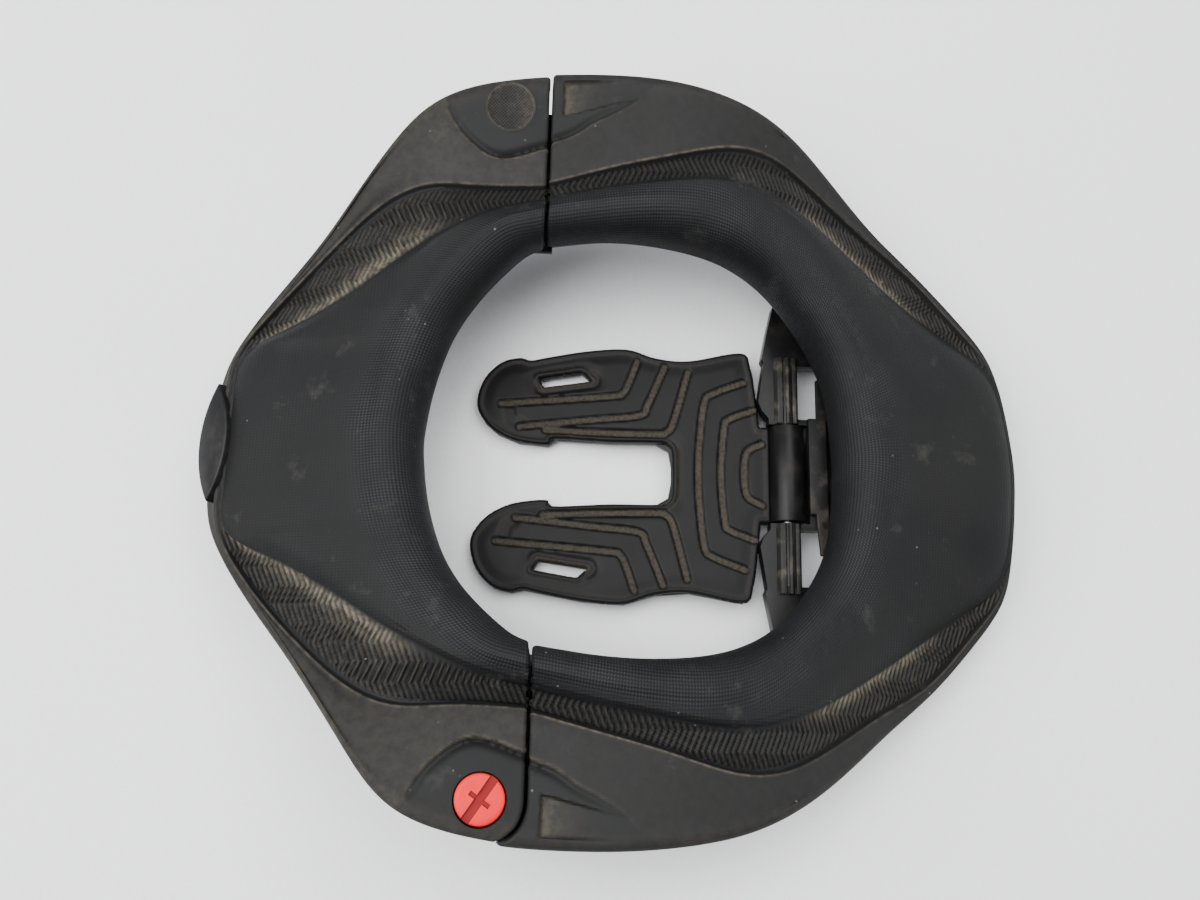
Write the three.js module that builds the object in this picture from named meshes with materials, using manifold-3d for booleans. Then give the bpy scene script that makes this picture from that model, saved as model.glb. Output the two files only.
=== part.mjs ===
// A motocross neck brace lying on a surface: two padded half rings that close round the neck,
// pinned together on one side, with a hinged back strut folded into the opening.
// Millimetres, +Z up. The front of the brace is at -Y and the wearer's left is at +X.
// Plan positions are measured from the parting gap (y = 0) and the plane of symmetry (x = 0).
import * as THREE from "three";
import { mergeVertices } from "three/addons/utils/BufferGeometryUtils.js";
import Module from "manifold-3d";

// Overall sizes
const halfWidth = 165;
const frontReach = 150; // parting gap to the front edge
const rearReach = 224; // parting gap to the rear edge
const armHeight = 92; // top of the flange beside the release pin

// Foam
const rollRadius = 16; // width from the neck wall to the crest of the neck roll
const rollShareMost = 0.58; // of the distance from the neck to the strip, where the arm is narrow
const neckDrop = 16; // foam below the fullest line of the neck wall
const foamDepth = 13; // under the flange, strip and plateau
const crestDepth = 20; // under the crest of the roll
const rimDrop = 12; // height of the rim wall
const rimRound = 4;
const lipWidth = 5; // foam edge that hangs down round the neck
const plateauBulge = 2;
const borderStep = 2; // from the plateau down to the ribbed strip
const ridgeStep = 2; // from the flange's edge down to the strip
const stripFullWidth = 9; // strips narrower than this have lower steps

// Chassis
const clearance = 0.4; // foam to chassis, and piece to piece
const rimInset = 3;
const frontInset = 6; // chassis edge behind the neck wall
const bracketInset = 14; // the same at the back, where the bracket shows
const footWidth = 10;
const neckFootWidth = 6;
const recessDepth = 3;
const footSlope = 1; // run of the slope from a foot up into the recess

// Parting gap, release pin and the tongues that carry the front half
const gapHalf = 0.6;
const pinInset = 18; // from the widest part of the ring
const pinX = halfWidth - pinInset;
const pinAhead = 17.4; // of the parting gap
const pinY = -pinAhead;
const hornAngle = 20; // degrees, end of the rear half's round notch
const pinHeadRadius = 9.8;
const pinHeadHeight = 3.4;
const pinSunk = 1.8; // top of the head below armHeight
const pinHeadTop = armHeight - pinSunk;
const pinShaftRadius = 4;
const pinRunning = 0.4;
const pinRecessDepth = 5.2;
const slotWidth = 3.6;
const slotDepth = 1.5;
const slotAngle = -34; // degrees from +X
const tongueHalfWidth = 13.5;
const pinTail = 1.5; // shaft below the tongue

// Valleys and hollows beside the gap
const valleyHalfWidth = 3.4;
const valleyDepth = 2.4;
const hollowDepth = 2.6;

// Back strut and its hinge
const hingeAhead = 12; // of the neck wall at the back
const hingeZ = 19.5;
const strutSlope = 5.4; // degrees
const strutReach = 151; // hinge axis to the tips of the legs
const strutHalfWidth = 63;
const strutTop = 2; // top of the pad above the hinge axis
const padDepth = 3.7;
const padInset = 2;
const padFront = 1.5; // from the barrel to the pad
const padGrooveHalfWidth = 1.7;
const padGrooveDepth = 1.3;
const plateDepth = 3;
const barrelRadius = 8.5;
const barrelHalfLength = 23.2;
const rodRadius = 3;
const knuckleRadius = 6.6;
const knuckleInner = 24.2;
const knuckleOuter = 54;
const rodInset = 2; // end of the rod inside the knuckle
const bracketTop = 23.6;
const bracketDepth = 7.5;
const bracketHalfWidth = 86;
const bracketReach = 33; // hinge axis to the back edge of the bracket plate
const barrelRoom = 1.2;
const windowInner = 27;
const windowOuter = 54;
const windowFront = 5; // behind the hinge axis
const windowBack = 19;
const barBack = 18; // back edge of the lock bar behind the hinge axis
const barHalfLength = 41;
const barDepth = 2.6;
const barWidth = 5.5;

// Badge
const badgeHalfLength = 27;
const badgeHalfHeight = 8.6;
const badgeDepth = 2;

const stepsPerRow = 2;
const roundSides = 28;

// Sections of the right-hand half of the front, from its centre to the gap. All are shares:
// x of halfWidth, y of frontReach, heights of armHeight.
// neck x, y, height | crest height | strip's inner border x, y, height | flange's edge x, y, height |
// rim x, y, height | underside height at the neck, at the rim
const frontRows = [
  [0.0, 0.333, 0.674, 0.87, 0.0, 0.913, 0.522, 0.0, 0.93, 0.5, 0.0, 0.995, 0.337, 0.293, 0.0],
  [0.121, 0.32, 0.674, 0.87, 0.145, 0.913, 0.522, 0.152, 0.93, 0.5, 0.164, 0.993, 0.337, 0.293, 0.0],
  [0.218, 0.293, 0.707, 0.87, 0.248, 0.893, 0.522, 0.267, 0.907, 0.5, 0.291, 0.927, 0.435, 0.326, 0.0],
  [0.303, 0.257, 0.739, 0.891, 0.321, 0.713, 0.62, 0.412, 0.787, 0.522, 0.442, 0.8, 0.533, 0.37, 0.087],
  [0.376, 0.207, 0.772, 0.924, 0.4, 0.553, 0.717, 0.521, 0.66, 0.63, 0.576, 0.667, 0.652, 0.435, 0.239],
  [0.436, 0.147, 0.826, 0.957, 0.479, 0.413, 0.826, 0.63, 0.507, 0.783, 0.739, 0.513, 0.87, 0.522, 0.457],
  [0.485, 0.087, 0.87, 0.989, 0.539, 0.287, 0.913, 0.685, 0.36, 0.87, 0.897, 0.373, 0.946, 0.62, 0.62],
  [0.515, 0.04, 0.902, 1.016, 0.594, 0.153, 0.946, 0.676, 0.187, 0.902, 0.964, 0.2, 0.989, 0.7, 0.7],
  [0.533, -0.02, 0.913, 1.027, 0.63, -0.02, 0.957, 0.685, -0.02, 0.908, 0.994, -0.02, 1.0, 0.7, 0.7],
];

// The same for the rear, from the gap to its centre, with y as a share of rearReach.
const rearRows = [
  [0.527, -0.07, 0.913, 1.027, 0.612, -0.07, 0.957, 0.673, -0.07, 0.908, 0.986, -0.07, 1.0, 0.609, 0.609],
  [0.533, 0.0, 0.913, 1.027, 0.63, 0.0, 0.957, 0.691, 0.0, 0.908, 0.997, 0.0, 1.0, 0.609, 0.609],
  [0.555, 0.116, 0.913, 1.038, 0.661, 0.107, 0.978, 0.733, 0.121, 0.957, 1.0, 0.134, 1.022, 0.609, 0.63],
  [0.558, 0.232, 0.87, 1.033, 0.691, 0.232, 0.989, 0.776, 0.246, 0.967, 0.988, 0.263, 1.022, 0.609, 0.63],
  [0.539, 0.348, 0.804, 0.989, 0.715, 0.348, 0.957, 0.824, 0.366, 0.929, 0.958, 0.388, 0.962, 0.565, 0.587],
  [0.485, 0.442, 0.717, 0.891, 0.703, 0.442, 0.87, 0.818, 0.464, 0.848, 0.897, 0.496, 0.859, 0.478, 0.478],
  [0.406, 0.509, 0.63, 0.793, 0.655, 0.54, 0.75, 0.758, 0.567, 0.69, 0.812, 0.603, 0.663, 0.391, 0.304],
  [0.315, 0.549, 0.565, 0.728, 0.588, 0.638, 0.598, 0.679, 0.67, 0.554, 0.721, 0.696, 0.511, 0.304, 0.152],
  [0.23, 0.571, 0.543, 0.696, 0.503, 0.746, 0.446, 0.594, 0.795, 0.397, 0.612, 0.808, 0.386, 0.272, 0.043],
  [0.145, 0.58, 0.543, 0.696, 0.4, 0.866, 0.37, 0.461, 0.888, 0.37, 0.479, 0.902, 0.359, 0.261, 0.0],
  [0.079, 0.585, 0.543, 0.696, 0.315, 0.955, 0.37, 0.339, 0.964, 0.359, 0.358, 0.971, 0.337, 0.261, 0.0],
  [0.036, 0.586, 0.543, 0.696, 0.182, 0.973, 0.446, 0.188, 0.98, 0.424, 0.2, 0.987, 0.38, 0.261, 0.0],
  [0.0, 0.587, 0.543, 0.696, 0.0, 0.982, 0.457, 0.0, 0.989, 0.435, 0.0, 1.0, 0.38, 0.261, 0.0],
];

// Half outline of the strut from its neck round one leg to the fork:
// x as a share of strutHalfWidth, distance from the hinge axis as a share of strutReach.
const strutOutline = [
  [0.373, 0.0],
  [0.373, 0.086],
  [0.45, 0.094],
  [0.606, 0.096],
  [0.86, 0.112],
  [0.978, 0.143],
  [0.908, 0.311],
  [0.929, 0.419],
  [1.0, 0.515],
  [0.983, 0.642],
  [0.929, 0.771],
  [0.902, 0.827],
  [0.922, 0.864],
  [0.89, 0.92],
  [0.789, 0.967],
  [0.66, 0.993],
  [0.52, 0.998],
  [0.4, 0.972],
  [0.308, 0.928],
  [0.241, 0.86],
  [0.217, 0.763],
  [0.265, 0.742],
  [0.244, 0.563],
  [0.243, 0.419],
  [0.184, 0.377],
  [0.06, 0.368],
];

// Strap slot in each leg, in the same shares.
const strapSlot = [
  [0.754, 0.8],
  [0.808, 0.662],
  [0.737, 0.628],
  [0.683, 0.783],
];

// Half outline of the bracket plate from the slot for the barrel to its back edge:
// x as a share of bracketHalfWidth, distance behind the hinge axis as a share of bracketReach.
const bracketOutline = [
  [0.315, -0.28],
  [0.36, -0.38],
  [0.41, -0.43],
  [0.64, -0.34],
  [0.665, -0.37],
  [0.84, -0.28],
  [0.985, -0.19],
  [1.0, 0.13],
  [0.87, 0.45],
  [0.7, 0.75],
  [0.45, 0.95],
  [0.2, 1.0],
];

// Valleys and hollows beside the gap, from the pin's axis in pin head radii. The last number is
// the share of the full depth.
const frontValley = [
  [-0.1, -2.75, 0.35],
  [-1.14, -2.04, 0.6],
  [-1.95, -1.06, 0.85],
  [-2.18, -0.28, 1],
  [-2.0, 0.57, 1],
  [-1.7, 1.42, 1],
  [-1.58, 1.98, 1],
];
const rearValley = [
  [-1.63, 1.47, 1],
  [-1.4, 1.84, 1],
  [-1.05, 2.79, 0.9],
  [-0.51, 3.63, 0.75],
  [0.1, 4.84, 0.45],
  [0.61, 5.65, 0.1],
];
const rearHollow = [
  [-0.22, 2.39, 1],
  [1.29, 2.39, 1],
  [1.41, 6.06, 0],
  [0.56, 5.45, 0],
];

// Grooves on one side of the strut pad, in the shares of its outline.
const padGrooves = [
  [[0.54, 0.92], [0.607, 0.573], [0.631, 0.528], [0.705, 0.509], [0.893, 0.481]],
  [[0.358, 0.859], [0.421, 0.61], [0.458, 0.469], [0.548, 0.444], [0.854, 0.391]],
  [[0.807, 0.316], [0.309, 0.373], [0.317, 0.597], [0.336, 0.775]],
  [[0.731, 0.137], [0.64, 0.233], [0.566, 0.262], [0.249, 0.278], [-0.05, 0.282]],
  [[0.507, 0.106], [0.434, 0.183], [0.361, 0.199], [-0.05, 0.21]],
  [[0.239, 0.08], [0.191, 0.12], [0.128, 0.133], [-0.05, 0.137]],
];

// Places that follow from the sections
const hingeY = rearRows.at(-1)[1] * rearReach - hingeAhead;
const tongueLow = rearRows[0][14] * armHeight; // level with the chassis beside it
const tongueTop = frontRows.at(-1)[14] * armHeight - 2 * clearance;

const plastic = { color: 0x17171a, roughness: 0.55, metalness: 0 };
const looks = {
  foam: new THREE.MeshStandardMaterial({ color: 0x2e2d2b, roughness: 0.85, metalness: 0 }),
  chassis: new THREE.MeshStandardMaterial(plastic),
  pad: new THREE.MeshStandardMaterial({ color: 0x1f1f20, roughness: 0.8, metalness: 0 }),
  red: new THREE.MeshStandardMaterial({ color: 0xe02f2f, roughness: 0.35, metalness: 0 }),
  steel: new THREE.MeshStandardMaterial({ color: 0x55565a, roughness: 0.4, metalness: 1 }),
};

const wasm = await Module();
wasm.setup();

const radians = THREE.MathUtils.degToRad;
const point = (x, y, z) => new THREE.Vector3(x, y, z);

// Closed geometry to a solid that can be cut and joined, and back.
function toSolid(geometry) {
  const bare = geometry.clone();
  bare.deleteAttribute("normal");
  bare.deleteAttribute("uv");
  const merged = mergeVertices(bare, 1e-4);
  const vertProperties = new Float32Array(merged.attributes.position.array);
  const triVerts = new Uint32Array(merged.index.array);
  return new wasm.Manifold(new wasm.Mesh({ numProp: 3, vertProperties, triVerts }));
}

function toGeometry(solid) {
  const { vertProperties, triVerts } = solid.getMesh();
  const geometry = new THREE.BufferGeometry();
  geometry.setAttribute("position", new THREE.BufferAttribute(vertProperties, 3));
  geometry.setIndex(new THREE.BufferAttribute(triVerts, 1));
  geometry.computeVertexNormals();
  return geometry;
}

// The main body of a cut solid, without the slivers that the cut leaves.
function mainBody(solid) {
  return solid.decompose().reduce((a, b) => (a.volume() > b.volume() ? a : b));
}

function named(name, material, solid) {
  const mesh = new THREE.Mesh(toGeometry(solid), material);
  mesh.name = name;
  return mesh;
}

// A prism over a plan outline, from height low to height high.
function prism(outline, low, high, holes = []) {
  const shape = new THREE.Shape(outline.map(([x, y]) => new THREE.Vector2(x, y)));
  holes.forEach((hole) => {
    shape.holes.push(new THREE.Path(hole.map(([x, y]) => new THREE.Vector2(x, y))));
  });
  const geometry = new THREE.ExtrudeGeometry(shape, { depth: high - low, bevelEnabled: false });
  return toSolid(geometry.translate(0, 0, low));
}

function uprightCylinder(x, y, radius, low, high) {
  const geometry = new THREE.CylinderGeometry(radius, radius, high - low, roundSides);
  return toSolid(geometry.rotateX(Math.PI / 2).translate(x, y, (low + high) / 2));
}

// A cylinder along X round the hinge axis.
function axleCylinder(radius, from, to) {
  const geometry = new THREE.CylinderGeometry(radius, radius, to - from, roundSides);
  geometry.rotateZ(Math.PI / 2).translate((from + to) / 2, hingeY, hingeZ);
  return toSolid(geometry);
}

const mirrored = (outline) => [...outline, ...[...outline].reverse().map(([x, y]) => [-x, y])];

// Rows of shares to sections, smoothed between the rows.
function smoothSections(rows, reach) {
  const curve = (start) =>
    new THREE.CatmullRomCurve3(
      rows.map((r) => point(r[start] * halfWidth, r[start + 1] * reach, r[start + 2] * armHeight)),
      false,
      "catmullrom",
    );
  const heights = new THREE.CatmullRomCurve3(
    rows.map((r) => point(r[3], r[13], r[14]).multiplyScalar(armHeight)),
    false,
    "catmullrom",
  );
  const curves = { neck: curve(0), border: curve(4), ridge: curve(7), rim: curve(10) };
  const count = (rows.length - 1) * stepsPerRow;
  return Array.from({ length: count + 1 }, (_, i) => {
    const t = i / count;
    const section = { t };
    Object.entries(curves).forEach(([name, c]) => {
      section[name] = c.getPoint(t);
    });
    const levels = heights.getPoint(t);
    section.crestHeight = levels.x;
    section.footNeck = Math.max(levels.y, 0);
    section.footRim = Math.max(levels.z, 0);
    return section;
  });
}

// A point above the plan line from a to b, at a share of it and at height z.
function between(a, b, share, z) {
  return point(a.x + (b.x - a.x) * share, a.y + (b.y - a.y) * share, z);
}

// The same, at a distance from a.
function stepped(a, b, distance, z) {
  return between(a, b, distance / Math.hypot(b.x - a.x, b.y - a.y), z);
}

const mix = THREE.MathUtils.lerp;
const planLength = (a, b) => Math.hypot(b.x - a.x, b.y - a.y);

function rollWidthOf({ neck, border }) {
  return Math.min(rollRadius, rollShareMost * planLength(neck, border));
}

// Underside of the foam, from the rim to the lip round the neck.
function foamUnderside(s) {
  const bottom = s.neck.z - neckDrop;
  return [
    stepped(s.rim, s.neck, rimInset, s.rim.z - rimDrop),
    between(s.ridge, s.ridge, 0, s.ridge.z - foamDepth),
    between(s.border, s.border, 0, s.border.z - foamDepth),
    stepped(s.neck, s.border, rollWidthOf(s), s.crestHeight - crestDepth),
    stepped(s.neck, s.border, lipWidth, bottom),
  ];
}

function foamRing(s) {
  const { neck, border, ridge, rim, crestHeight } = s;
  const roll = rollWidthOf(s);
  const span = planLength(neck, border);
  const foot = Math.min(2 * roll, 0.85 * span);
  const fade = Math.min(1, planLength(border, ridge) / stripFullWidth);
  const borderTop = border.z + borderStep * fade;
  const alongPlateau = (distance) => mix(crestHeight, borderTop, (distance - roll) / (span - roll));
  const middle = (foot + span) / 2;
  const wide = Math.min(1, (span - foot) / (2 * rollRadius));
  return [
    point(neck.x, neck.y, neck.z - neckDrop),
    neck.clone(),
    stepped(neck, border, 0.29 * roll, mix(neck.z, crestHeight, 0.71)),
    stepped(neck, border, roll, crestHeight),
    stepped(neck, border, foot, alongPlateau(foot) + plateauBulge * wide),
    stepped(neck, border, middle, alongPlateau(middle) + plateauBulge * wide),
    point(border.x, border.y, borderTop),
    between(border, ridge, 0.12, border.z),
    between(border, ridge, 0.88, ridge.z - ridgeStep * fade),
    ridge.clone(),
    between(ridge, rim, 0.45, mix(ridge.z, rim.z, 0.45 + 0.2 * fade)),
    between(ridge, rim, 0.93, mix(ridge.z, rim.z, 0.93 + 0.07 * fade)),
    point(rim.x, rim.y, rim.z - rimRound),
    point(rim.x, rim.y, rim.z - rimDrop),
    ...foamUnderside(s),
  ];
}

// The chassis fills the foam's underside, which trims its top, and has a shallow recess below.
function chassisRing(s, inset) {
  const [underRim, underRidge, underBorder, underCrest, lip] = foamUnderside(s);
  const share = Math.max(0, (inset - lipWidth) / (rollWidthOf(s) - lipWidth));
  const top = Math.min(0.9, share);
  const innerTop = between(lip, underCrest, top, mix(lip.z, underCrest.z, top));
  const edge = (fromRim) => stepped(s.rim, s.neck, fromRim, s.footRim);
  const inner = (fromEdge) => stepped(innerTop, s.border, fromEdge, s.footNeck);
  const raised = (p) => point(p.x, p.y, p.z + recessDepth);
  return [
    innerTop,
    underCrest,
    underBorder,
    underRidge,
    underRim,
    stepped(s.rim, s.neck, footSlope, s.rim.z - rimDrop),
    edge(rimInset),
    edge(rimInset + footWidth),
    raised(edge(rimInset + footWidth + footSlope)),
    raised(inner(neckFootWidth + footSlope)),
    inner(neckFootWidth),
    inner(0),
  ];
}

// Joins rings into one closed body whose first and last rings are flat across y.
function loft(rings) {
  const size = rings[0].length;
  const positions = rings.flat().flatMap((p) => [p.x, p.y, p.z]);
  const index = [];
  for (let i = 0; i + 1 < rings.length; i++)
    for (let j = 0; j < size; j++) {
      const next = (j + 1) % size;
      const [a, b, c, d] = [i * size + j, i * size + next, (i + 1) * size + next, (i + 1) * size + j];
      index.push(a, b, c, a, c, d);
    }
  const cap = (ring, base, backwards) => {
    const flat = ring.map((p) => new THREE.Vector2(p.x, p.z));
    const clockwise = THREE.ShapeUtils.isClockWise(flat);
    THREE.ShapeUtils.triangulateShape(flat, []).forEach(([a, b, c]) => {
      const alike = THREE.ShapeUtils.isClockWise([flat[a], flat[b], flat[c]]) === clockwise;
      const tri = alike !== backwards ? [a, b, c] : [a, c, b];
      index.push(...tri.map((k) => k + base));
    });
  };
  cap(rings[0], 0, true);
  cap(rings[rings.length - 1], (rings.length - 1) * size, false);
  const geometry = new THREE.BufferGeometry();
  geometry.setAttribute("position", new THREE.Float32BufferAttribute(positions, 3));
  geometry.setIndex(index);
  const solid = toSolid(geometry);
  if (solid.volume() > 0) return solid;
  geometry.setIndex(index.flatMap((_, k) => (k % 3 ? [] : [index[k], index[k + 2], index[k + 1]])));
  return toSolid(geometry);
}

// Both sides of the ring: the right-hand sections, and their mirror image. side is -1 for the
// front, whose rows run forward, and 1 for the rear.
function wholeRing(sections, side, ringOf) {
  const placed = sections.map((s) => ringOf(s).map((p) => point(p.x, side * p.y, p.z)));
  const other = placed.map((ring) => ring.map((p) => point(-p.x, p.y, p.z)));
  const fromGap = side < 0 ? [...other].reverse() : other;
  const toGap = side < 0 ? placed : [...placed].reverse();
  return loft([...fromGap.slice(0, -1), ...toGap]);
}

function arcRound(radius, fromDegrees, toDegrees) {
  const steps = 10;
  return Array.from({ length: steps + 1 }, (_, i) => {
    const angle = radians(mix(fromDegrees, toDegrees, i / steps));
    return [pinX + radius * Math.cos(angle), pinY + radius * Math.sin(angle)];
  });
}

// Everything behind the front half: straight across, then round the release pin.
function behindFront() {
  const far = 2 * rearReach;
  const arc = arcRound(pinAhead - gapHalf, 90, -hornAngle);
  const outline = [[-far, -gapHalf], ...arc, [far, arc.at(-1)[1]], [far, far], [-far, far]];
  return prism(outline, -far, far);
}

// Everything ahead of the rear half, which reaches forward round the pin in a horn.
function aheadOfRear() {
  const far = 2 * rearReach;
  const arc = arcRound(pinAhead + gapHalf, 90, hornAngle);
  const outline = [[-far, gapHalf], ...arc, [far, arc.at(-1)[1]], [far, -far], [-far, -far]];
  return prism(outline.reverse(), -far, far);
}

const pinHole = () => uprightCylinder(pinX, pinY, pinShaftRadius + pinRunning, 0, armHeight);

// A flat tongue under each end of the front half: the right-hand one carries the pin. The room
// that the front half leaves for it is the same shape, grown all round.
function tongue(side, room = 0) {
  const low = tongueLow - room;
  const half = tongueHalfWidth + room;
  const outline = [
    [side * pinX - half, pinY],
    [side * pinX + half, pinY],
    [side * pinX + half, 3 * gapHalf],
    [side * pinX - half, 3 * gapHalf],
  ];
  const end = uprightCylinder(side * pinX, pinY, half, low, tongueTop + room);
  return prism(outline, low, tongueTop + room).add(end);
}

// A V-shaped groove along rows of [x, y, share of the full depth], cut down from a surface whose
// height heightAt gives.
function groove(rows, half, depth, heightAt) {
  const slice = ([x, y, share = 1], i) => {
    const [ax, ay] = rows[Math.max(i - 1, 0)];
    const [bx, by] = rows[Math.min(i + 1, rows.length - 1)];
    const across = new THREE.Vector2(ay - by, bx - ax).normalize().multiplyScalar(2 * half * share);
    const z = heightAt(x, y);
    const top = z + depth * share;
    return [
      [x, y, z - depth * share],
      [x + across.x, y + across.y, top],
      [x - across.x, y - across.y, top],
    ];
  };
  const slices = rows.map(slice);
  return slices
    .slice(1)
    .map((next, i) => wasm.Manifold.hull([...slices[i], ...next]))
    .reduce((all, piece) => all.add(piece));
}

const besidePin = (rows) =>
  rows.map(([x, y, share]) => [pinX + x * pinHeadRadius, pinY + y * pinHeadRadius, share]);

// Height of a solid's top face over a plan point.
function heightOn(solid) {
  const mesh = new THREE.Mesh(toGeometry(solid));
  return (x, y) => {
    const ray = new THREE.Raycaster(point(x, y, 2 * armHeight), point(0, 0, -1));
    return ray.intersectObject(mesh)[0].point.z;
  };
}

// Takes a cut out of a solid on both sides.
const cutTwice = (solid, cut) => solid.subtract(cut).subtract(cut.mirror([1, 0, 0]));

const frontSections = smoothSections(frontRows, frontReach);
const rearSections = smoothSections(rearRows, rearReach);

// A chassis ring with the room for its foam taken out.
function underFoam(sections, side, insetOf) {
  const foam = wholeRing(sections, side, foamRing);
  return wholeRing(sections, side, (s) => chassisRing(s, insetOf(s.t)))
    .subtract(foam)
    .subtract(foam.translate([0, 0, -clearance]));
}

function frontFoam() {
  const headRoom = pinHeadRadius + pinRunning;
  const ring = wholeRing(frontSections, -1, foamRing);
  const valley = groove(besidePin(frontValley), valleyHalfWidth, valleyDepth, heightOn(ring));
  return cutTwice(ring, valley)
    .subtract(behindFront())
    .subtract(uprightCylinder(pinX, pinY, headRoom, pinHeadTop - pinRecessDepth, 2 * armHeight))
    .subtract(pinHole());
}

function frontChassis() {
  const shell = underFoam(frontSections, -1, () => frontInset)
    .subtract(behindFront())
    .subtract(tongue(1, clearance))
    .subtract(tongue(-1, clearance));
  return mainBody(shell.subtract(pinHole()));
}

function rearFoam() {
  const ring = wholeRing(rearSections, 1, foamRing);
  const heightAt = heightOn(ring);
  const valley = groove(besidePin(rearValley), valleyHalfWidth, valleyDepth, heightAt);
  const corners = besidePin(rearHollow).flatMap(([x, y, share]) => {
    const z = heightAt(x, y);
    return [[x, y, z - hollowDepth * share], [x, y, z + hollowDepth]];
  });
  const hollow = wasm.Manifold.hull(corners);
  return cutTwice(cutTwice(ring, valley), hollow).subtract(aheadOfRear());
}

function rearChassis() {
  const insetOf = (t) => mix(frontInset, bracketInset, t);
  const shell = underFoam(rearSections, 1, insetOf).subtract(aheadOfRear());
  const bracketRoom = prism(bracketPlan(), 0, bracketTop + clearance).add(lockBar(clearance));
  return mainBody(
    shell.subtract(bracketRoom).add(tongue(1)).add(tongue(-1)).subtract(pinHole()),
  );
}

function releasePin() {
  const low = tongueLow - pinTail;
  const headLow = pinHeadTop - pinHeadHeight;
  const slotLow = pinHeadTop - slotDepth;
  const coinSlot = new THREE.BoxGeometry(3 * pinHeadRadius, slotWidth, 2 * slotDepth);
  coinSlot.rotateZ(radians(slotAngle)).translate(pinX, pinY, slotLow + slotDepth);
  return uprightCylinder(pinX, pinY, pinShaftRadius, low, headLow + 1)
    .add(uprightCylinder(pinX, pinY, pinHeadRadius, headLow, pinHeadTop))
    .subtract(toSolid(coinSlot));
}

function badge() {
  const [centre] = frontSections;
  const fall = Math.atan2(centre.ridge.z - centre.rim.z, centre.rim.y - centre.ridge.y);
  const bow = (badgeHalfLength ** 2 - badgeHalfHeight ** 2) / (2 * badgeHalfHeight);
  const radius = bow + badgeHalfHeight;
  const half = Math.asin(badgeHalfLength / radius);
  const steps = 8;
  const upper = Array.from({ length: steps }, (_, i) => {
    const angle = mix(-half, half, i / steps);
    return [radius * Math.sin(angle), radius * Math.cos(angle) - bow];
  });
  const lens = [...upper, ...upper.map(([x, y]) => [-x, -y])].reverse();
  const shape = new THREE.Shape(lens.map(([x, y]) => new THREE.Vector2(x, y)));
  const geometry = new THREE.ExtrudeGeometry(shape, { depth: badgeDepth, bevelEnabled: false });
  geometry.translate(0, 0, clearance).rotateX(fall);
  const y = -(centre.ridge.y + centre.rim.y) / 2;
  const z = (centre.ridge.z + centre.rim.z) / 2;
  return toSolid(geometry.translate(0, y, z));
}

// Outline moved inwards by a distance, corner by corner.
function inwards(outline, distance) {
  return outline.map(([x, y], i) => {
    const [px, py] = outline.at(i - 1);
    const [nx, ny] = outline[(i + 1) % outline.length];
    const before = new THREE.Vector2(x - px, y - py).normalize();
    const after = new THREE.Vector2(nx - x, ny - y).normalize();
    const side = new THREE.Vector2(-before.y - after.y, before.x + after.x).normalize();
    const spread = Math.max(0.5, Math.abs(side.x * before.y - side.y * before.x));
    return [x + (side.x * distance) / spread, y + (side.y * distance) / spread];
  });
}

// Plan outlines on the strut are drawn flat, with the hinge axis at y = 0.
const strutPlan = (rows) => rows.map(([x, v]) => [x * strutHalfWidth, -v * strutReach]);

function leaned(solid) {
  const geometry = toGeometry(solid);
  geometry.rotateX(radians(strutSlope)).translate(0, hingeY, hingeZ);
  return toSolid(geometry);
}

function strapSlots() {
  const right = strutPlan(strapSlot);
  return [right, right.map(([x, y]) => [-x, y])];
}

function strutPlate() {
  const top = strutTop - padDepth - clearance;
  const outline = mirrored(strutPlan(strutOutline)).reverse();
  const flat = prism(outline, top - plateDepth, top, strapSlots());
  return leaned(flat)
    .add(axleCylinder(barrelRadius, -barrelHalfLength, barrelHalfLength))
    .subtract(axleCylinder(rodRadius + clearance, -halfWidth, halfWidth));
}

function strutPad() {
  const front = barrelRadius + padFront;
  const rows = strutPlan(strutOutline).map(([x, y]) => [x, Math.min(y, -front + padInset)]);
  const outline = inwards(mirrored(rows), -padInset).reverse();
  const flat = prism(outline, strutTop - padDepth, strutTop, strapSlots());
  const level = () => strutTop;
  const grooved = padGrooves.reduce((pad, rows) => {
    const cut = groove(strutPlan(rows), padGrooveHalfWidth, padGrooveDepth, level);
    return cutTwice(pad, cut);
  }, flat);
  return leaned(grooved);
}

// Plan outline of the bracket plate, with a slot in front for the strut's barrel.
function bracketPlan() {
  const half = bracketOutline.map(([x, v]) => [x * bracketHalfWidth, hingeY + v * bracketReach]);
  const slotBack = hingeY + barrelRadius + barrelRoom;
  return mirrored([[knuckleInner, slotBack], [knuckleInner, half[0][1]], ...half]);
}

function hingeBracket() {
  const window = (side) => [
    [side * windowInner, hingeY + windowFront],
    [side * windowOuter, hingeY + windowFront],
    [side * windowOuter, hingeY + windowBack],
    [side * windowInner, hingeY + windowBack],
  ];
  const low = bracketTop - bracketDepth;
  return prism(bracketPlan(), low, bracketTop, [window(1), window(-1)])
    .add(axleCylinder(knuckleRadius, knuckleInner, knuckleOuter))
    .add(axleCylinder(knuckleRadius, -knuckleOuter, -knuckleInner))
    .subtract(prism(window(1), hingeZ - knuckleRadius - 1, bracketTop + knuckleRadius))
    .subtract(prism(window(-1).reverse(), hingeZ - knuckleRadius - 1, bracketTop + knuckleRadius))
    .subtract(axleCylinder(rodRadius + clearance, rodInset - knuckleOuter, knuckleOuter - rodInset));
}

function hingeRod() {
  const end = knuckleOuter - rodInset - clearance;
  return axleCylinder(rodRadius, -end, end);
}

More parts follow.
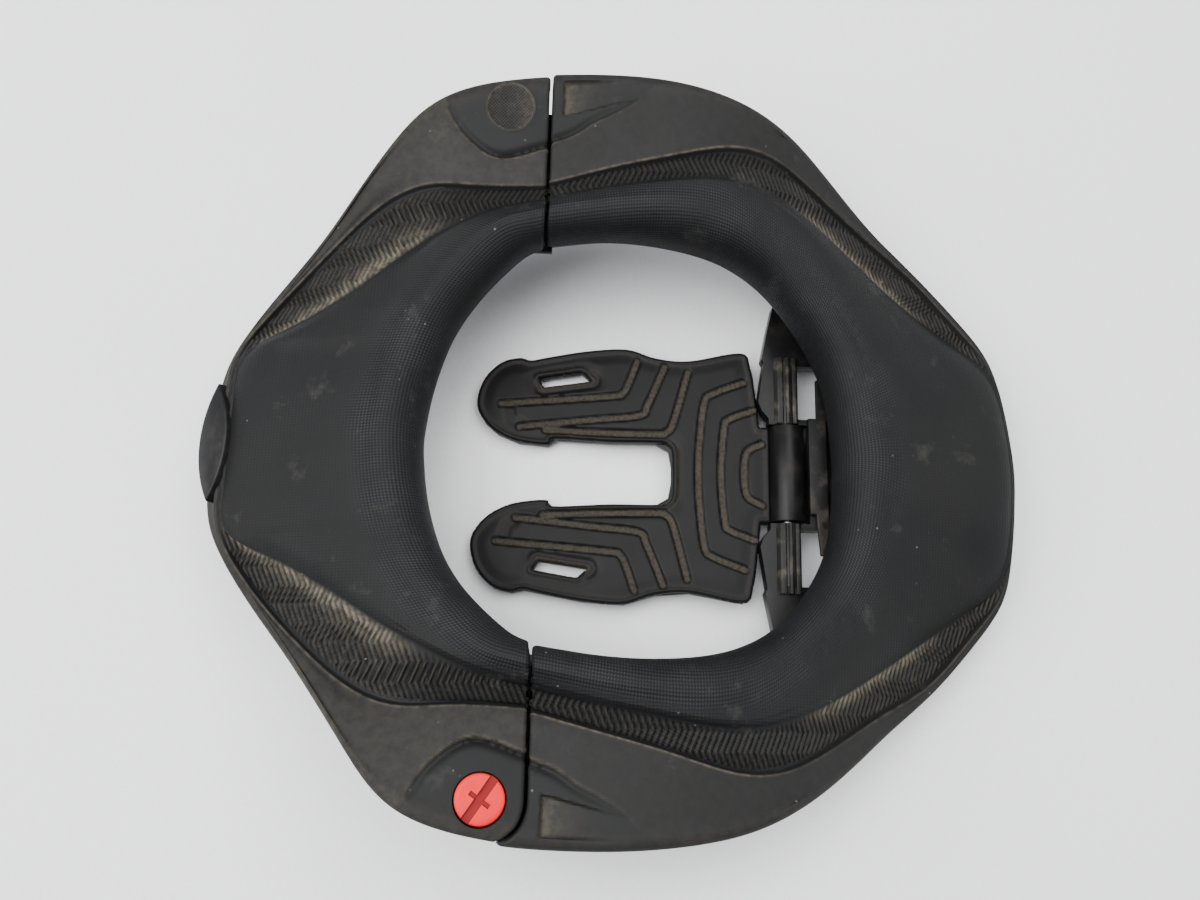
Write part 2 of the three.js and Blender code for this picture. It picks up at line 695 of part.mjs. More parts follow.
// The flat bar on the bracket plate, or with room, the space that the chassis leaves for it.
function lockBar(room = 0) {
  const back = hingeY + barBack + room;
  const front = back - barWidth - 2 * room;
  const half = barHalfLength + room;
  const outline = [[-half, front], [half, front], [half, back], [-half, back]];
  const low = bracketTop + clearance - room;
  return prism(outline, low, low + barDepth + 2 * room);
}

const frontHalf = new THREE.Group();
frontHalf.add(
  named("front_foam", looks.foam, frontFoam()),
  named("front_chassis", looks.chassis, frontChassis()),
  named("badge", looks.chassis, badge()),
  named("release_pin", looks.red, releasePin()),
);

const rearHalf = new THREE.Group();
rearHalf.add(
  named("rear_foam", looks.foam, rearFoam()),
  named("rear_chassis", looks.chassis, rearChassis()),
  named("hinge_bracket", looks.chassis, hingeBracket()),
  named("lock_bar", looks.chassis, lockBar()),
  named("hinge_rod", looks.steel, hingeRod()),
);

const backStrut = new THREE.Group();
backStrut.add(
  named("strut_plate", looks.chassis, strutPlate()),
  named("strut_pad", looks.pad, strutPad()),
);

// The brace stands on z = 0 with its middle over the origin.
const brace = new THREE.Group();
brace.add(frontHalf, rearHalf, backStrut);
const box = new THREE.Box3().setFromObject(brace);
const middle = box.getCenter(new THREE.Vector3());
brace.position.set(-middle.x, -middle.y, -box.min.z);

export default brace;
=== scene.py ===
import math

import bmesh
import bpy
import numpy as np
from mathutils import Matrix, Vector


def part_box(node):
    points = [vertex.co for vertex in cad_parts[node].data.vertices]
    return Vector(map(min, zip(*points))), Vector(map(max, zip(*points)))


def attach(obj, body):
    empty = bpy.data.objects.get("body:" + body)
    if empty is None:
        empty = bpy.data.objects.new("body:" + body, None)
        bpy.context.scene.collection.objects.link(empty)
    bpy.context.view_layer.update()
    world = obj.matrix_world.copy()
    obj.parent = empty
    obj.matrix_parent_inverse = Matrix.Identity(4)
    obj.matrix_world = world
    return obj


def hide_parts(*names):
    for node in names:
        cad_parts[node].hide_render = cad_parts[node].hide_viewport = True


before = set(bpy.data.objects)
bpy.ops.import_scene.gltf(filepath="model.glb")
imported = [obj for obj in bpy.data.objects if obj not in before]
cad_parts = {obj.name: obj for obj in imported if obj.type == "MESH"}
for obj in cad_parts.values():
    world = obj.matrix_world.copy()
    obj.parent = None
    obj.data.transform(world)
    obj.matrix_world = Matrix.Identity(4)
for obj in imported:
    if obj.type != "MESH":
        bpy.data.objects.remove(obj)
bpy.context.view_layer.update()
print("stage: frame loaded")

# Sizes in millimetres. Plan positions are measured from the parting gap and the plane of symmetry.
ring = {
    "halfWidth": 165,
    "frontReach": 150,
    "rearReach": 224,
    "armHeight": 92,
    "rollWidth": 16,
    "rollShareMost": 0.58,
    "neckDrop": 16,
    "rimDrop": 12,
    "foamDepth": 13,
    "crestDepth": 20,
    "lipWidth": 5,
    "rimInset": 3,
    "borderStep": 2.0,
    "edgeStep": 2.0,
    "stripFull": 9,
    "stripNone": 2.4,
    "gapHalf": 0.6,
    "endRound": 1.6,
    "pin": (147, -17.4),
    "hornAngle": 20,
}
middleY = ring["rearReach"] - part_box("rear_foam")[1].y * 1000

# Sections from the centre to the gap, as shares of halfWidth, the reach and armHeight:
# neck x, y, z | crest z | strip border x, y, z | flange edge x, y, z | rim x, y, z | feet z
frontRows = [
    [0.0, 0.333, 0.674, 0.87, 0.0, 0.913, 0.522, 0.0, 0.93, 0.5, 0.0, 0.995, 0.337, 0.293, 0.0],
    [0.121, 0.32, 0.674, 0.87, 0.145, 0.913, 0.522, 0.152, 0.93, 0.5, 0.164, 0.993, 0.337, 0.293, 0.0],
    [0.218, 0.293, 0.707, 0.87, 0.248, 0.893, 0.522, 0.267, 0.907, 0.5, 0.291, 0.927, 0.435, 0.326, 0.0],
    [0.303, 0.257, 0.739, 0.891, 0.321, 0.713, 0.62, 0.412, 0.787, 0.522, 0.442, 0.8, 0.533, 0.37, 0.087],
    [0.376, 0.207, 0.772, 0.924, 0.4, 0.553, 0.717, 0.521, 0.66, 0.63, 0.576, 0.667, 0.652, 0.435, 0.239],
    [0.436, 0.147, 0.826, 0.957, 0.479, 0.413, 0.826, 0.63, 0.507, 0.783, 0.739, 0.513, 0.87, 0.522, 0.457],
    [0.485, 0.087, 0.87, 0.989, 0.539, 0.287, 0.913, 0.685, 0.36, 0.87, 0.897, 0.373, 0.946, 0.62, 0.62],
    [0.515, 0.04, 0.902, 1.016, 0.594, 0.153, 0.946, 0.676, 0.187, 0.902, 0.964, 0.2, 0.989, 0.7, 0.7],
    [0.533, -0.02, 0.913, 1.027, 0.63, -0.02, 0.957, 0.685, -0.02, 0.908, 0.994, -0.02, 1.0, 0.7, 0.7],
]
rearRows = [
    [0.0, 0.605, 0.543, 0.696, 0.0, 0.982, 0.457, 0.0, 0.989, 0.435, 0.0, 1.0, 0.38, 0.261, 0.0],
    [0.036, 0.604, 0.543, 0.696, 0.182, 0.973, 0.446, 0.188, 0.98, 0.424, 0.2, 0.987, 0.38, 0.261, 0.0],
    [0.079, 0.603, 0.543, 0.696, 0.315, 0.955, 0.37, 0.339, 0.964, 0.359, 0.358, 0.971, 0.337, 0.261, 0.0],
    [0.145, 0.598, 0.543, 0.696, 0.4, 0.866, 0.37, 0.461, 0.888, 0.37, 0.479, 0.902, 0.359, 0.261, 0.0],
    [0.23, 0.588, 0.543, 0.696, 0.503, 0.746, 0.446, 0.594, 0.795, 0.397, 0.612, 0.808, 0.386, 0.272, 0.043],
    [0.315, 0.56, 0.565, 0.728, 0.588, 0.638, 0.598, 0.679, 0.67, 0.554, 0.721, 0.696, 0.511, 0.304, 0.152],
    [0.406, 0.509, 0.63, 0.793, 0.655, 0.54, 0.75, 0.758, 0.567, 0.69, 0.812, 0.603, 0.663, 0.391, 0.304],
    [0.485, 0.442, 0.717, 0.891, 0.703, 0.442, 0.87, 0.818, 0.464, 0.848, 0.897, 0.496, 0.859, 0.478, 0.478],
    [0.539, 0.348, 0.804, 0.989, 0.715, 0.348, 0.957, 0.824, 0.366, 0.929, 0.958, 0.388, 0.962, 0.565, 0.587],
    [0.558, 0.232, 0.87, 1.033, 0.691, 0.232, 0.989, 0.776, 0.246, 0.967, 0.988, 0.263, 1.022, 0.609, 0.63],
    [0.555, 0.116, 0.913, 1.038, 0.661, 0.107, 0.978, 0.733, 0.121, 0.957, 1.0, 0.134, 1.022, 0.609, 0.63],
    [0.533, 0.0, 0.913, 1.027, 0.63, 0.0, 0.957, 0.691, 0.0, 0.908, 0.997, 0.0, 1.0, 0.609, 0.609],
    [0.527, -0.07, 0.913, 1.027, 0.612, -0.07, 0.957, 0.673, -0.07, 0.908, 0.986, -0.07, 1.0, 0.609, 0.609],
]


rowParts = {"neck": 0, "border": 4, "edge": 7, "rim": 10}  # the first column of each point
crestColumn, feetColumn, rowLength = 3, 13, 15


def spline(a, b, c, d, f):
    # the smooth curve from b to c, with a and d as its neighbours
    return 0.5 * (2 * b + (c - a) * f + (2 * a - 5 * b + 4 * c - d) * f**2 + (3 * b - a - 3 * c + d) * f**3)


def splineRows(rows, t):
    # the table is mirrored past the centre and run on past the gap
    table = np.array(rows)
    mirror = np.ones(rowLength)
    mirror[list(rowParts.values())] = -1
    table = np.vstack([table[1] * mirror, table, 2 * table[-1] - table[-2]])
    i = np.clip(t.astype(int), 0, len(rows) - 2)
    return spline(table[i], table[i + 1], table[i + 2], table[i + 3], (t - i)[:, None])


def smoothRows(rows, t):
    # the spline, evened out along the ring, but not at its ends
    reach = np.minimum(0.5, np.minimum(t, len(rows) - 1 - t))
    weights = {-1: 1, -0.5: 2, 0: 3, 0.5: 2, 1: 1}
    return sum(w * splineRows(rows, t + k * reach) for k, w in weights.items()) / sum(weights.values())


def placedRows(rows, side, t):
    # the sections' points in millimetres; side is -1 for the front half and 1 for the rear half
    row = smoothRows(rows, t)
    reach = ring["frontReach"] if side < 0 else ring["rearReach"]
    scale = np.array([ring["halfWidth"], side * reach, ring["armHeight"]])
    corner = {name: row[:, k:k + 3] * scale for name, k in rowParts.items()}
    corner["crest"] = row[:, crestColumn] * ring["armHeight"]
    corner["foot"] = np.maximum(row[:, feetColumn:rowLength], 0) * ring["armHeight"]
    return corner


def softMin(a, b, blend):
    # the smaller of two widths, with a smooth change from one to the other
    h = np.clip(0.5 + 0.5 * (b - a) / blend, 0, 1)
    return b * (1 - h) + a * h - blend * h * (1 - h) / 2


def planSpan(a, b):
    return np.hypot(b[:, 0] - a[:, 0], b[:, 1] - a[:, 1])


def onLine(a, b, distance, z):
    # points above the plan line from a to b, at a distance from a
    share = (distance / np.maximum(planSpan(a, b), 1e-6))[:, None]
    return np.hstack([a[:, :2] + (b[:, :2] - a[:, :2]) * share, np.broadcast_to(z, len(a))[:, None]])


def below(points, depth):
    return np.hstack([points[:, :2], points[:, 2:] - depth])


wingSteps = 16  # under each wing, so that the underside follows the notch round the pin


def foamControls(c):
    # the closed section as control points, each with the number of steps to the next one
    neck, border, edge, rim, crest = c["neck"], c["border"], c["edge"], c["rim"], c["crest"]
    span, strip, flange = planSpan(neck, border), planSpan(border, edge), planSpan(edge, rim)
    roll = softMin(ring["rollWidth"], ring["rollShareMost"] * span, 6)
    foot = softMin(2 * roll, 0.85 * span, 10)
    fade = smoothStep((strip - ring["stripNone"]) / (ring["stripFull"] - ring["stripNone"]))
    top = border[:, 2] + ring["borderStep"] * fade
    wide = 2 * np.clip((span - foot) / (2 * ring["rollWidth"]), 0, 1)
    plateau = lambda d: crest + (top - crest) * (d - roll) / (span - roll)
    inner = lambda d, z: onLine(neck, border, d, z)
    tight = np.minimum(1, strip / 6)
    onStrip = lambda d, z: onLine(border, edge, d, z)
    stripZ = lambda s: border[:, 2] + (edge[:, 2] - ring["edgeStep"] * fade - border[:, 2]) * s
    flangeZ = lambda s: edge[:, 2] + (rim[:, 2] - edge[:, 2]) * np.minimum(1, s * (1 + 0.44 * fade * (1 - s)))
    onFlange = lambda d, z: onLine(edge, rim, d, z)
    near = np.minimum(1, flange / 5)
    rimZ = rim[:, 2]
    zero = np.zeros(len(neck))
    lift = neck[:, 2]
    return [
        (inner(zero + 2.5, lift - ring["neckDrop"]), 2),
        (inner(zero + 0.5, lift - 9), 2),
        (inner(zero, lift - 2), 2),
        (inner(0.07 * roll, lift + 0.3 * (crest - lift)), 3),
        (inner(0.29 * roll, lift + 0.71 * (crest - lift)), 3),
        (inner(0.62 * roll, lift + 0.94 * (crest - lift)), 3),
        (inner(roll, crest), 4),
        (inner((roll + foot) / 2, plateau((roll + foot) / 2) + 0.2 * wide), 4),
        (inner(foot, plateau(foot) + wide * 0.8), 6),
        (inner((foot + span) / 2, plateau((foot + span) / 2) + wide), 6),
        (inner(span - 3 * tight, plateau(span - 3 * tight) + 0.15 * wide), 3),
        (inner(span - 0.9 * tight, top - 0.35 * fade), 2),
        (onStrip(0.1 * tight, top - 1.3 * fade), 2),
        (onStrip(1.0 * tight, border[:, 2] - 0.3 * fade), 2),
        (onStrip(0.12 * strip, stripZ(0.12) - 0.1 * fade), 12),
        (onStrip(0.5 * strip, stripZ(0.5)), 11),
        (onStrip(0.86 * strip, stripZ(0.86) - 0.1 * fade), 4),
        (onStrip(strip - 1.3 * tight, stripZ(0.97) - 0.3 * fade), 2),
        (onStrip(strip - 0.35 * tight, edge[:, 2] - 0.9 * fade), 2),
        (onFlange(0.3 * near, edge[:, 2] - 0.1 * fade), 2),
        (onFlange(1.2 * near, flangeZ(0.02)), 13),
        (onFlange(0.27 * flange, flangeZ(0.27)), 14),
        (onFlange(0.52 * flange, flangeZ(0.52)), 14),
        (onFlange(0.77 * flange, flangeZ(0.77)), 9),
        (onFlange(flange - 3.6 * near, rimZ - 0.1), 3),
        (onFlange(flange - 1.1 * near, rimZ - 0.9), 2),
        (onFlange(flange - 0.15 * near, rimZ - 2.4), 2),
        (onFlange(flange, rimZ - 5), 2),
        (onFlange(flange - 0.1, rimZ - 0.9 * ring["rimDrop"]), 1),
        (onFlange(flange - 1.0, rimZ - ring["rimDrop"]), 1),
        (onLine(rim, neck, zero + ring["rimInset"], rimZ - ring["rimDrop"]), wingSteps),
        (below(edge, ring["foamDepth"]), 1),
        (below(border, ring["foamDepth"]), 1),
        (inner(roll, crest - ring["crestDepth"]), 1),
        (inner(zero + ring["lipWidth"], lift - ring["neckDrop"] - 0.4), 1),
    ]


stripFrom, stripTo = 14, 17  # control points between which the ribs run
crestPoint = 6  # control point on the crest of the neck roll


def throughControls(controls):
    # a smooth closed curve through the control points of each section
    points = np.stack([p for p, _ in controls], axis=1)
    nextOne, lastOne = np.roll(points, -1, axis=1), np.roll(points, 1, axis=1)
    ahead = np.linalg.norm(nextOne - points, axis=2, keepdims=True) + 1e-6
    behind = np.roll(ahead, 1, axis=1)
    slope = ((nextOne - points) / ahead * behind + (points - lastOne) / behind * ahead) / (ahead + behind)
    out, where = [], []
    for k, (_, steps) in enumerate(controls):
        after = (k + 1) % len(controls)
        for f in np.arange(steps) / steps:
            h00, h10 = 2 * f**3 - 3 * f**2 + 1, f**3 - 2 * f**2 + f
            h01, h11 = 3 * f**2 - 2 * f**3, f**3 - f**2
            long = ahead[:, k]
            spot = h00 * points[:, k] + h10 * long * slope[:, k]
            out.append(spot + h01 * points[:, after] + h11 * long * slope[:, after])
            where.append(k + f)
    return np.stack(out, axis=1), np.array(where)


def gapLine(x, side, pinned):
    # where a half ends at the parting gap; on the pinned side it goes round the pin
    if not pinned:
        return np.full_like(x, side * ring["gapHalf"])
    px, py = ring["pin"]
    radius = -py + side * ring["gapHalf"]
    reach = radius * math.cos(math.radians(ring["hornAngle"])) if side > 0 else radius
    across = np.clip(x - px, 0, reach)
    return py + np.sqrt(radius**2 - across**2)


endDistances = np.array([1.6, 1.0, 0.5, 0.2, 0.05, 0.0])  # of the last stations, for a rounding of the first
fineRows = 1800
stationClear = 0.6


def halfLines(rows, side, controlsOf, spacing, pinned, endRound):
    # one side of a half ring, from its centre to the gap: stations x samples x 3, x positive
    fine = np.linspace(0, len(rows) - 1, fineRows)
    corner = placedRows(rows, side, fine)
    dense, where = throughControls(controlsOf(corner))
    strip = planSpan(corner["border"], corner["edge"])
    step = np.linalg.norm(np.diff(corner["edge"], axis=0), axis=1)
    weight = np.clip((strip[1:] - 3) / 3, 0.45, 1)
    along = np.concatenate([[0], np.cumsum(step * weight)])
    past = side * (dense[:, :, 1] - gapLine(dense[:, :, 0], side, pinned)) <= 0
    last = np.where(past.any(axis=0), past.argmax(axis=0), len(fine) - 1)
    count = int(along[int(np.median(last))] / spacing)
    stations = np.linspace(0, 1, count)
    columns = []
    for v in range(dense.shape[1]):
        line = dense[:last[v] + 1, v]
        if past[:, v].any() and last[v] > 0:
            here = side * (line[-1:, 1] - gapLine(line[-1:, 0], side, pinned))
            before = side * (line[-2:-1, 1] - gapLine(line[-2:-1, 0], side, pinned))
            line = np.vstack([line[:-1], line[-2] + (line[-1] - line[-2]) * (before / (before - here))])
        length = np.concatenate([[0], np.cumsum(np.linalg.norm(np.diff(line, axis=0), axis=1))])
        base = np.interp(stations, along[:len(line)] / along[len(line) - 1], length)
        stop = length[-1] - endRound - stationClear
        base = base * stop / base[-1]
        spots = np.concatenate([base, length[-1] - endDistances * endRound / endDistances[0]])
        columns.append(np.stack([np.interp(spots, length, line[:, k]) for k in range(3)], axis=1))
    return np.stack(columns, axis=1), where


def wholeHalf(rows, side, controlsOf, spacing, endRound):
    right, where = halfLines(rows, side, controlsOf, spacing, True, endRound)
    left, _ = halfLines(rows, side, controlsOf, spacing, False, endRound)
    left[:, :, 0] *= -1
    return np.concatenate([left[::-1], right[1:]]), where


def surfaceNormals(grid):
    along = np.gradient(grid, axis=0)
    around = np.roll(grid, -1, axis=1) - np.roll(grid, 1, axis=1)
    normal = np.cross(along, around)
    return normal / (np.linalg.norm(normal, axis=2, keepdims=True) + 1e-12)


upperSample = 40  # lies on the upper side


def roundEnds(grid, endRound):
    # pulls the last stations of both ends in, so that the cut edges are rounded
    normal = surfaceNormals(grid)
    if normal[:, upperSample, 2].mean() < 0:
        normal = -normal
    spare = endRound - endDistances * endRound / endDistances[0]
    inset = endRound - np.sqrt(np.maximum(0, endRound**2 - spare ** 2))
    n = len(endDistances)
    for k in range(n):
        grid[-n + k] -= normal[-n - 1] * inset[k]
        grid[n - 1 - k] -= normal[n] * inset[k]
    return grid


def toModel(grid):
    # plan millimetres to the model's metres
    return (grid - np.array([0, middleY, 0])) * 0.001


def smoothStep(x):
    x = np.clip(x, 0, 1)
    return x * x * (3 - 2 * x)


def curveThrough(points, steps):
    # a smooth line through plan points
    p = np.array(points, float)
    p = np.vstack([2 * p[0] - p[1], p, 2 * p[-1] - p[-2]])
    out = []
    for a, b, c, d in zip(p[:-3], p[1:-2], p[2:-1], p[3:]):
        out += [spline(a, b, c, d, f) for f in np.arange(steps) / steps]
    return [tuple(q) for q in out + [p[-2]]]


def bump(distance, width):
    return np.exp(-(distance / width) ** 2)


def toLine(x, y, points):
    # distance to a chain of points, how far along it from 0 to 1, and which side of it: 1 left, -1 right
    best, along, hand = np.full_like(x, 1e9), np.zeros_like(x), np.ones_like(x)
    for k, ((ax, ay), (bx, by)) in enumerate(zip(points[:-1], points[1:])):
        dx, dy = bx - ax, by - ay
        f = np.clip(((x - ax) * dx + (y - ay) * dy) / (dx * dx + dy * dy), 0, 1)
        d = np.hypot(x - ax - f * dx, y - ay - f * dy)
        along = np.where(d < best, (k + f) / (len(points) - 1), along)
        hand = np.where(d < best, np.sign(dx * (y - ay) - dy * (x - ax)), hand)
        best = np.minimum(best, d)
    return best, along, hand


def addAttribute(mesh, name, values):
    layer = mesh.attributes.new(name, "FLOAT", "POINT")
    layer.data.foreach_set("value", np.asarray(values, np.float32).ravel())


def showPiece(name, mesh):
    piece = bpy.data.objects.new(name, mesh)
    bpy.context.scene.collection.objects.link(piece)
    return piece


def newPiece(name, bm):
    mesh = bpy.data.meshes.new(name)
    bm.to_mesh(mesh)
    bm.free()
    return showPiece(name, mesh)


def gridMesh(name, grid, attributes, weave=None):
    # a closed tube over the grid, with its two ends filled
    stations, around = grid.shape[:2]
    bm = bmesh.new()
    bmesh.ops.create_grid(bm, x_segments=around, y_segments=stations - 1, size=0.5)
    bm.verts.ensure_lookup_table()
    # create_grid numbers its vertices row by row
    flat = np.concatenate([grid, grid[:, :1]], axis=1).reshape(-1, 3)
    for v, co in zip(bm.verts, flat.tolist()):
        v.co = co
    mesh = bpy.data.meshes.new(name)
    bm.to_mesh(mesh)
    bm.free()
    for key, values in attributes.items():
        addAttribute(mesh, key, np.concatenate([values, values[:, :1]], axis=1))
    if weave is not None:
        spread = np.concatenate([weave, weave[:, -1:]], axis=1).reshape(-1, 2)
        layer = mesh.uv_layers.new(name="surface")
        index = np.zeros(len(mesh.loops), np.int32)
        mesh.loops.foreach_get("vertex_index", index)
        layer.data.foreach_set("uv", spread[index].astype(np.float32).ravel())
    bm = bmesh.new()
    bm.from_mesh(mesh)
    bm.verts.ensure_lookup_table()
    width = around + 1
    seam = {bm.verts[r * width + around]: bm.verts[r * width] for r in range(stations)}
    firstRing = [bm.verts[k] for k in range(around)]
    lastRing = [bm.verts[(stations - 1) * width + k] for k in range(around)]
    bmesh.ops.weld_verts(bm, targetmap=seam)
    for loop in (firstRing, lastRing):
        zipEnd(bm, loop)
    bmesh.ops.recalc_face_normals(bm, faces=bm.faces)
    bm.to_mesh(mesh)
    bm.free()
    return showPiece(name, mesh)


underSamples = 4 + wingSteps  # the samples of a section's underside, in the foam and in the chassis


def planReach(run):
    steps = [math.hypot(q.co.x - p.co.x, q.co.y - p.co.y) for p, q in zip(run[:-1], run[1:])]
    total = np.concatenate([[0], np.cumsum(steps)])
    return total / total[-1]


def zipEnd(bm, loop):
    # fills an end between its upper and its lower run, from the neck side to the rim side
    cut = len(loop) - underSamples
    upper, lower = loop[:cut], [loop[0]] + loop[cut - 1:][::-1]
    reachU, reachL = planReach(upper), planReach(lower)
    i = j = 0
    while i < len(upper) - 1 or j < len(lower) - 1:
        if j == len(lower) - 1 or (i < len(upper) - 1 and reachU[i + 1] <= reachL[j + 1]):
            corners = [upper[i], upper[i + 1], lower[j]]
            i += 1
        else:
            corners = [upper[i], lower[j + 1], lower[j]]
            j += 1
        if len(set(corners)) == 3:
            bm.faces.new(corners)


foam = {
    "stationStep": 0.72,
    "ribDepth": 0.95,
    "ribPitch": 2.5,
    "ribLean": 3.6,
    "ribColumn": 8.0,
    "valleyDepth": 2.3,
    "valleyWidth": 1.5,
    "hollowDepth": 2.9,
    "hollow": (144.8, 6, 159.8, 40),  # inner x, near y, outer x, far y
    "patch": (-147.2, -17.7, 10.2),
    "recessRadius": 10.3,
    "recessDepth": 5.2,
    "pinTop": 90.2,
    "pinHead": 9.8,
}
# lines round the release pin, in radii of its head from its centre
frontValley = [
    (-0.1, -2.75), (-1.14, -2.04), (-1.95, -1.06), (-2.18, -0.28), (-2.0, 0.57), (-1.7, 1.42), (-1.58, 1.98),
]
rearValley = [(-1.63, 1.47), (-1.4, 1.84), (-1.05, 2.79), (-0.51, 3.63), (0.1, 4.84), (0.61, 5.65)]


def besidePin(points):
    return [(ring["pin"][0] + x * foam["pinHead"], ring["pin"][1] + y * foam["pinHead"]) for x, y in points]


def foamDetails(grid, where, side):
    # lowers and raises the upper side for ribs, valleys and hollows; returns the masks too
    x, y = np.abs(grid[:, :, 0]), grid[:, :, 1]
    back = np.abs(y)
    w = np.broadcast_to(where, x.shape)
    a, b = int(np.searchsorted(where, stripFrom)), int(np.searchsorted(where, stripTo))
    width = np.linalg.norm(grid[:, b] - grid[:, a], axis=1)[:, None]
    ribs = smoothStep((w - 13.85) / 0.35) * smoothStep((16.55 - w) / 0.4) * np.clip((width - 1.5) / 3, 0, 1)
    zigzag = foam["ribLean"] * np.abs((x / foam["ribColumn"]) % 2 - 1)
    if side < 0:
        phase = (back + zigzag) / foam["ribPitch"]
    else:
        phase = 0.357 * (back + zigzag) + 0.0003 * back**2
    crest = smoothStep(0.62 + 0.62 * np.cos(2 * np.pi * phase))
    dz = -foam["ribDepth"] * (1 - crest) * ribs
    upper = (w > 18.5) & (w < 25.5)
    d, along, hand = toLine(x, y, curveThrough(besidePin(frontValley if side < 0 else rearValley), 6))
    reach = d * hand  # positive on the flange's side of the valley, negative on the pin's
    share = np.minimum(1, 0.35 + 1.6 * along) if side < 0 else np.clip(1.15 - along, 0, 1)
    valley = bump(reach, foam["valleyWidth"]) * share * upper
    dz = dz - foam["valleyDepth"] * valley
    dz = dz - 0.7 * smoothStep(-reach / 2.5) * bump(reach, 9) * share * upper
    hollow = np.zeros_like(x)
    if side > 0:
        x0, y0, x1, y1 = foam["hollow"]
        taper = np.clip((y - y0) / (y1 - y0), 0, 1)
        hollow = smoothStep((x - x0 - 8 * taper) / 1.3 + 0.5) * smoothStep((x1 + taper - x) / 1.3 + 0.5)
        hollow = hollow * smoothStep((y - y0) / 1.4 + 0.5) * upper * (1 - taper)
        dz = dz - foam["hollowDepth"] * hollow
    px, py, pr = foam["patch"]
    toPatch = np.hypot(grid[:, :, 0] - px, y - py)
    patch = (toPatch < pr).astype(float) * upper
    dz = dz + 0.5 * bump(toPatch - pr - 0.3, 0.7) * upper
    dz = dz - 0.3 * patch
    grid = grid.copy()
    grid[:, :, 2] += dz
    far = smoothStep((back - (40 if side < 0 else 105)) / 25)
    tip = smoothStep((190 - back) / 25) if side > 0 else 1
    comb = bump(w - 13.9, 0.55) * (0.35 + 0.65 * crest) * far * np.clip((width - 1) / 3, 0, 1)
    edgeLine = bump(w - 19.0, 0.55) * (0.55 if side < 0 else 0.35 + 0.65 * smoothStep((110 - back) / 30))
    dust = 0.9 * comb * tip + 0.13 * ribs * crest * (0.5 + 0.5 * far)
    dust = dust + 0.55 * edgeLine * np.clip((width - 2) / 4, 0, 1)
    dust = dust + 0.34 * bump(reach - 2.0, 0.6) * share * upper
    dust = dust + 0.42 * hollow * np.exp(-np.clip(y - foam["hollow"][1], 0, None) / 8)
    dust = dust + 0.22 * patch * (0.3 + 0.7 * smoothStep((y - py) / 8))
    dust = dust + 0.3 * bump(toPatch - pr - 0.2, 0.35) * upper
    outerDust = 0.15 * smoothStep((w - 22.5) / 3) * upper * (1 if side < 0 else 0.4)
    dust = dust + outerDust * np.clip((width - 3) / 4, 0, 1)
    dust = dust + (0.09 if side < 0 else 0.03) * smoothStep(reach / 4) * upper
    weave = smoothStep((8.4 - w) / 1.6) * smoothStep(w / 0.5)
    plateau = smoothStep((12.4 - w) / 0.4) * smoothStep((w - 6.8) / 1.6)
    flange = smoothStep((w - 19) / 0.5) * smoothStep((29 - w) / 0.5)
    masks = {"dust": np.clip(dust, 0, 1), "weave": weave, "flange": flange, "patch": patch, "plateau": plateau}
    # painted shade: this mask darkens the ribs' grooves and the valley round the pin, where shade falls
    masks["groove"] = np.clip((1 - crest) * ribs + 0.9 * valley, 0, 1)
    return grid, masks


def unrolled(grid, where):
    # the neck roll opened out: distance along its crest, and distance round it from the crest, in metres
    top = int(np.searchsorted(where, crestPoint))
    steps = np.linalg.norm(np.diff(grid[:, top], axis=0), axis=1)
    along = np.concatenate([[0], np.cumsum(steps)])
    stepsRound = np.linalg.norm(np.diff(grid, axis=1), axis=2)
    across = np.concatenate([np.zeros((len(grid), 1)), np.cumsum(stepsRound, axis=1)], axis=1)
    across = across - across[:, top:top + 1]
    return np.stack([np.broadcast_to(along[:, None], across.shape), across], axis=2) * 0.001


def makeFoam(name, rows, side):
    grid, where = wholeHalf(rows, side, foamControls, foam["stationStep"], ring["endRound"])
    flat = unrolled(grid, where)
    grid, masks = foamDetails(grid, where, side)
    grid = roundEnds(grid, ring["endRound"])
    piece = gridMesh(name, toModel(grid), masks, flat)
    print("stage:", name, len(piece.data.polygons), "faces")
    return piece


def smoothShade(piece, degrees=180):
    piece.data.shade_smooth()
    if degrees < 180:
        bm = bmesh.new()
        bm.from_mesh(piece.data)
        limit = math.radians(degrees)
        for e in bm.edges:
            e.smooth = not (len(e.link_faces) == 2 and e.calc_face_angle(0) > limit)
        bm.to_mesh(piece.data)
        bm.free()


def applyModifiers(piece):
    shown = bpy.context.evaluated_depsgraph_get()
    mesh = bpy.data.meshes.new_from_object(piece.evaluated_get(shown))
    piece.modifiers.clear()
    old, piece.data = piece.data, mesh
    mesh.name = piece.name
    bpy.data.meshes.remove(old)


def cutWith(piece, cutter):
    tool = piece.modifiers.new("cut", "BOOLEAN")
    tool.operation = "DIFFERENCE"
    tool.solver = "EXACT"
    tool.object = cutter
    applyModifiers(piece)
    mesh = cutter.data
    bpy.data.objects.remove(cutter)
    bpy.data.meshes.remove(mesh)


def cylinderPiece(name, x, y, low, high, radius, sides=96):
    bm = bmesh.new()
    middle = Matrix.Translation(Vector((x, y - middleY, (low + high) / 2)) * 0.001)
    bmesh.ops.create_cone(bm, cap_ends=True, segments=sides, radius1=radius * 0.001, radius2=radius * 0.001,
                          depth=(high - low) * 0.001, matrix=middle)
    return newPiece(name, bm)


aboveAll = 130  # higher than any piece
frontFoam = makeFoam("front_foam_cover", frontRows, -1)
recess = cylinderPiece("recess", *ring["pin"], foam["pinTop"] - foam["recessDepth"], aboveAll, foam["recessRadius"])
cutWith(frontFoam, recess)
rearFoam = makeFoam("rear_foam_cover", rearRows, 1)
for piece, node, body in ((frontFoam, "front_foam", "front_half"), (rearFoam, "rear_foam", "rear_half")):
    smoothShade(piece, 48)
    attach(piece, body)
    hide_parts(node)


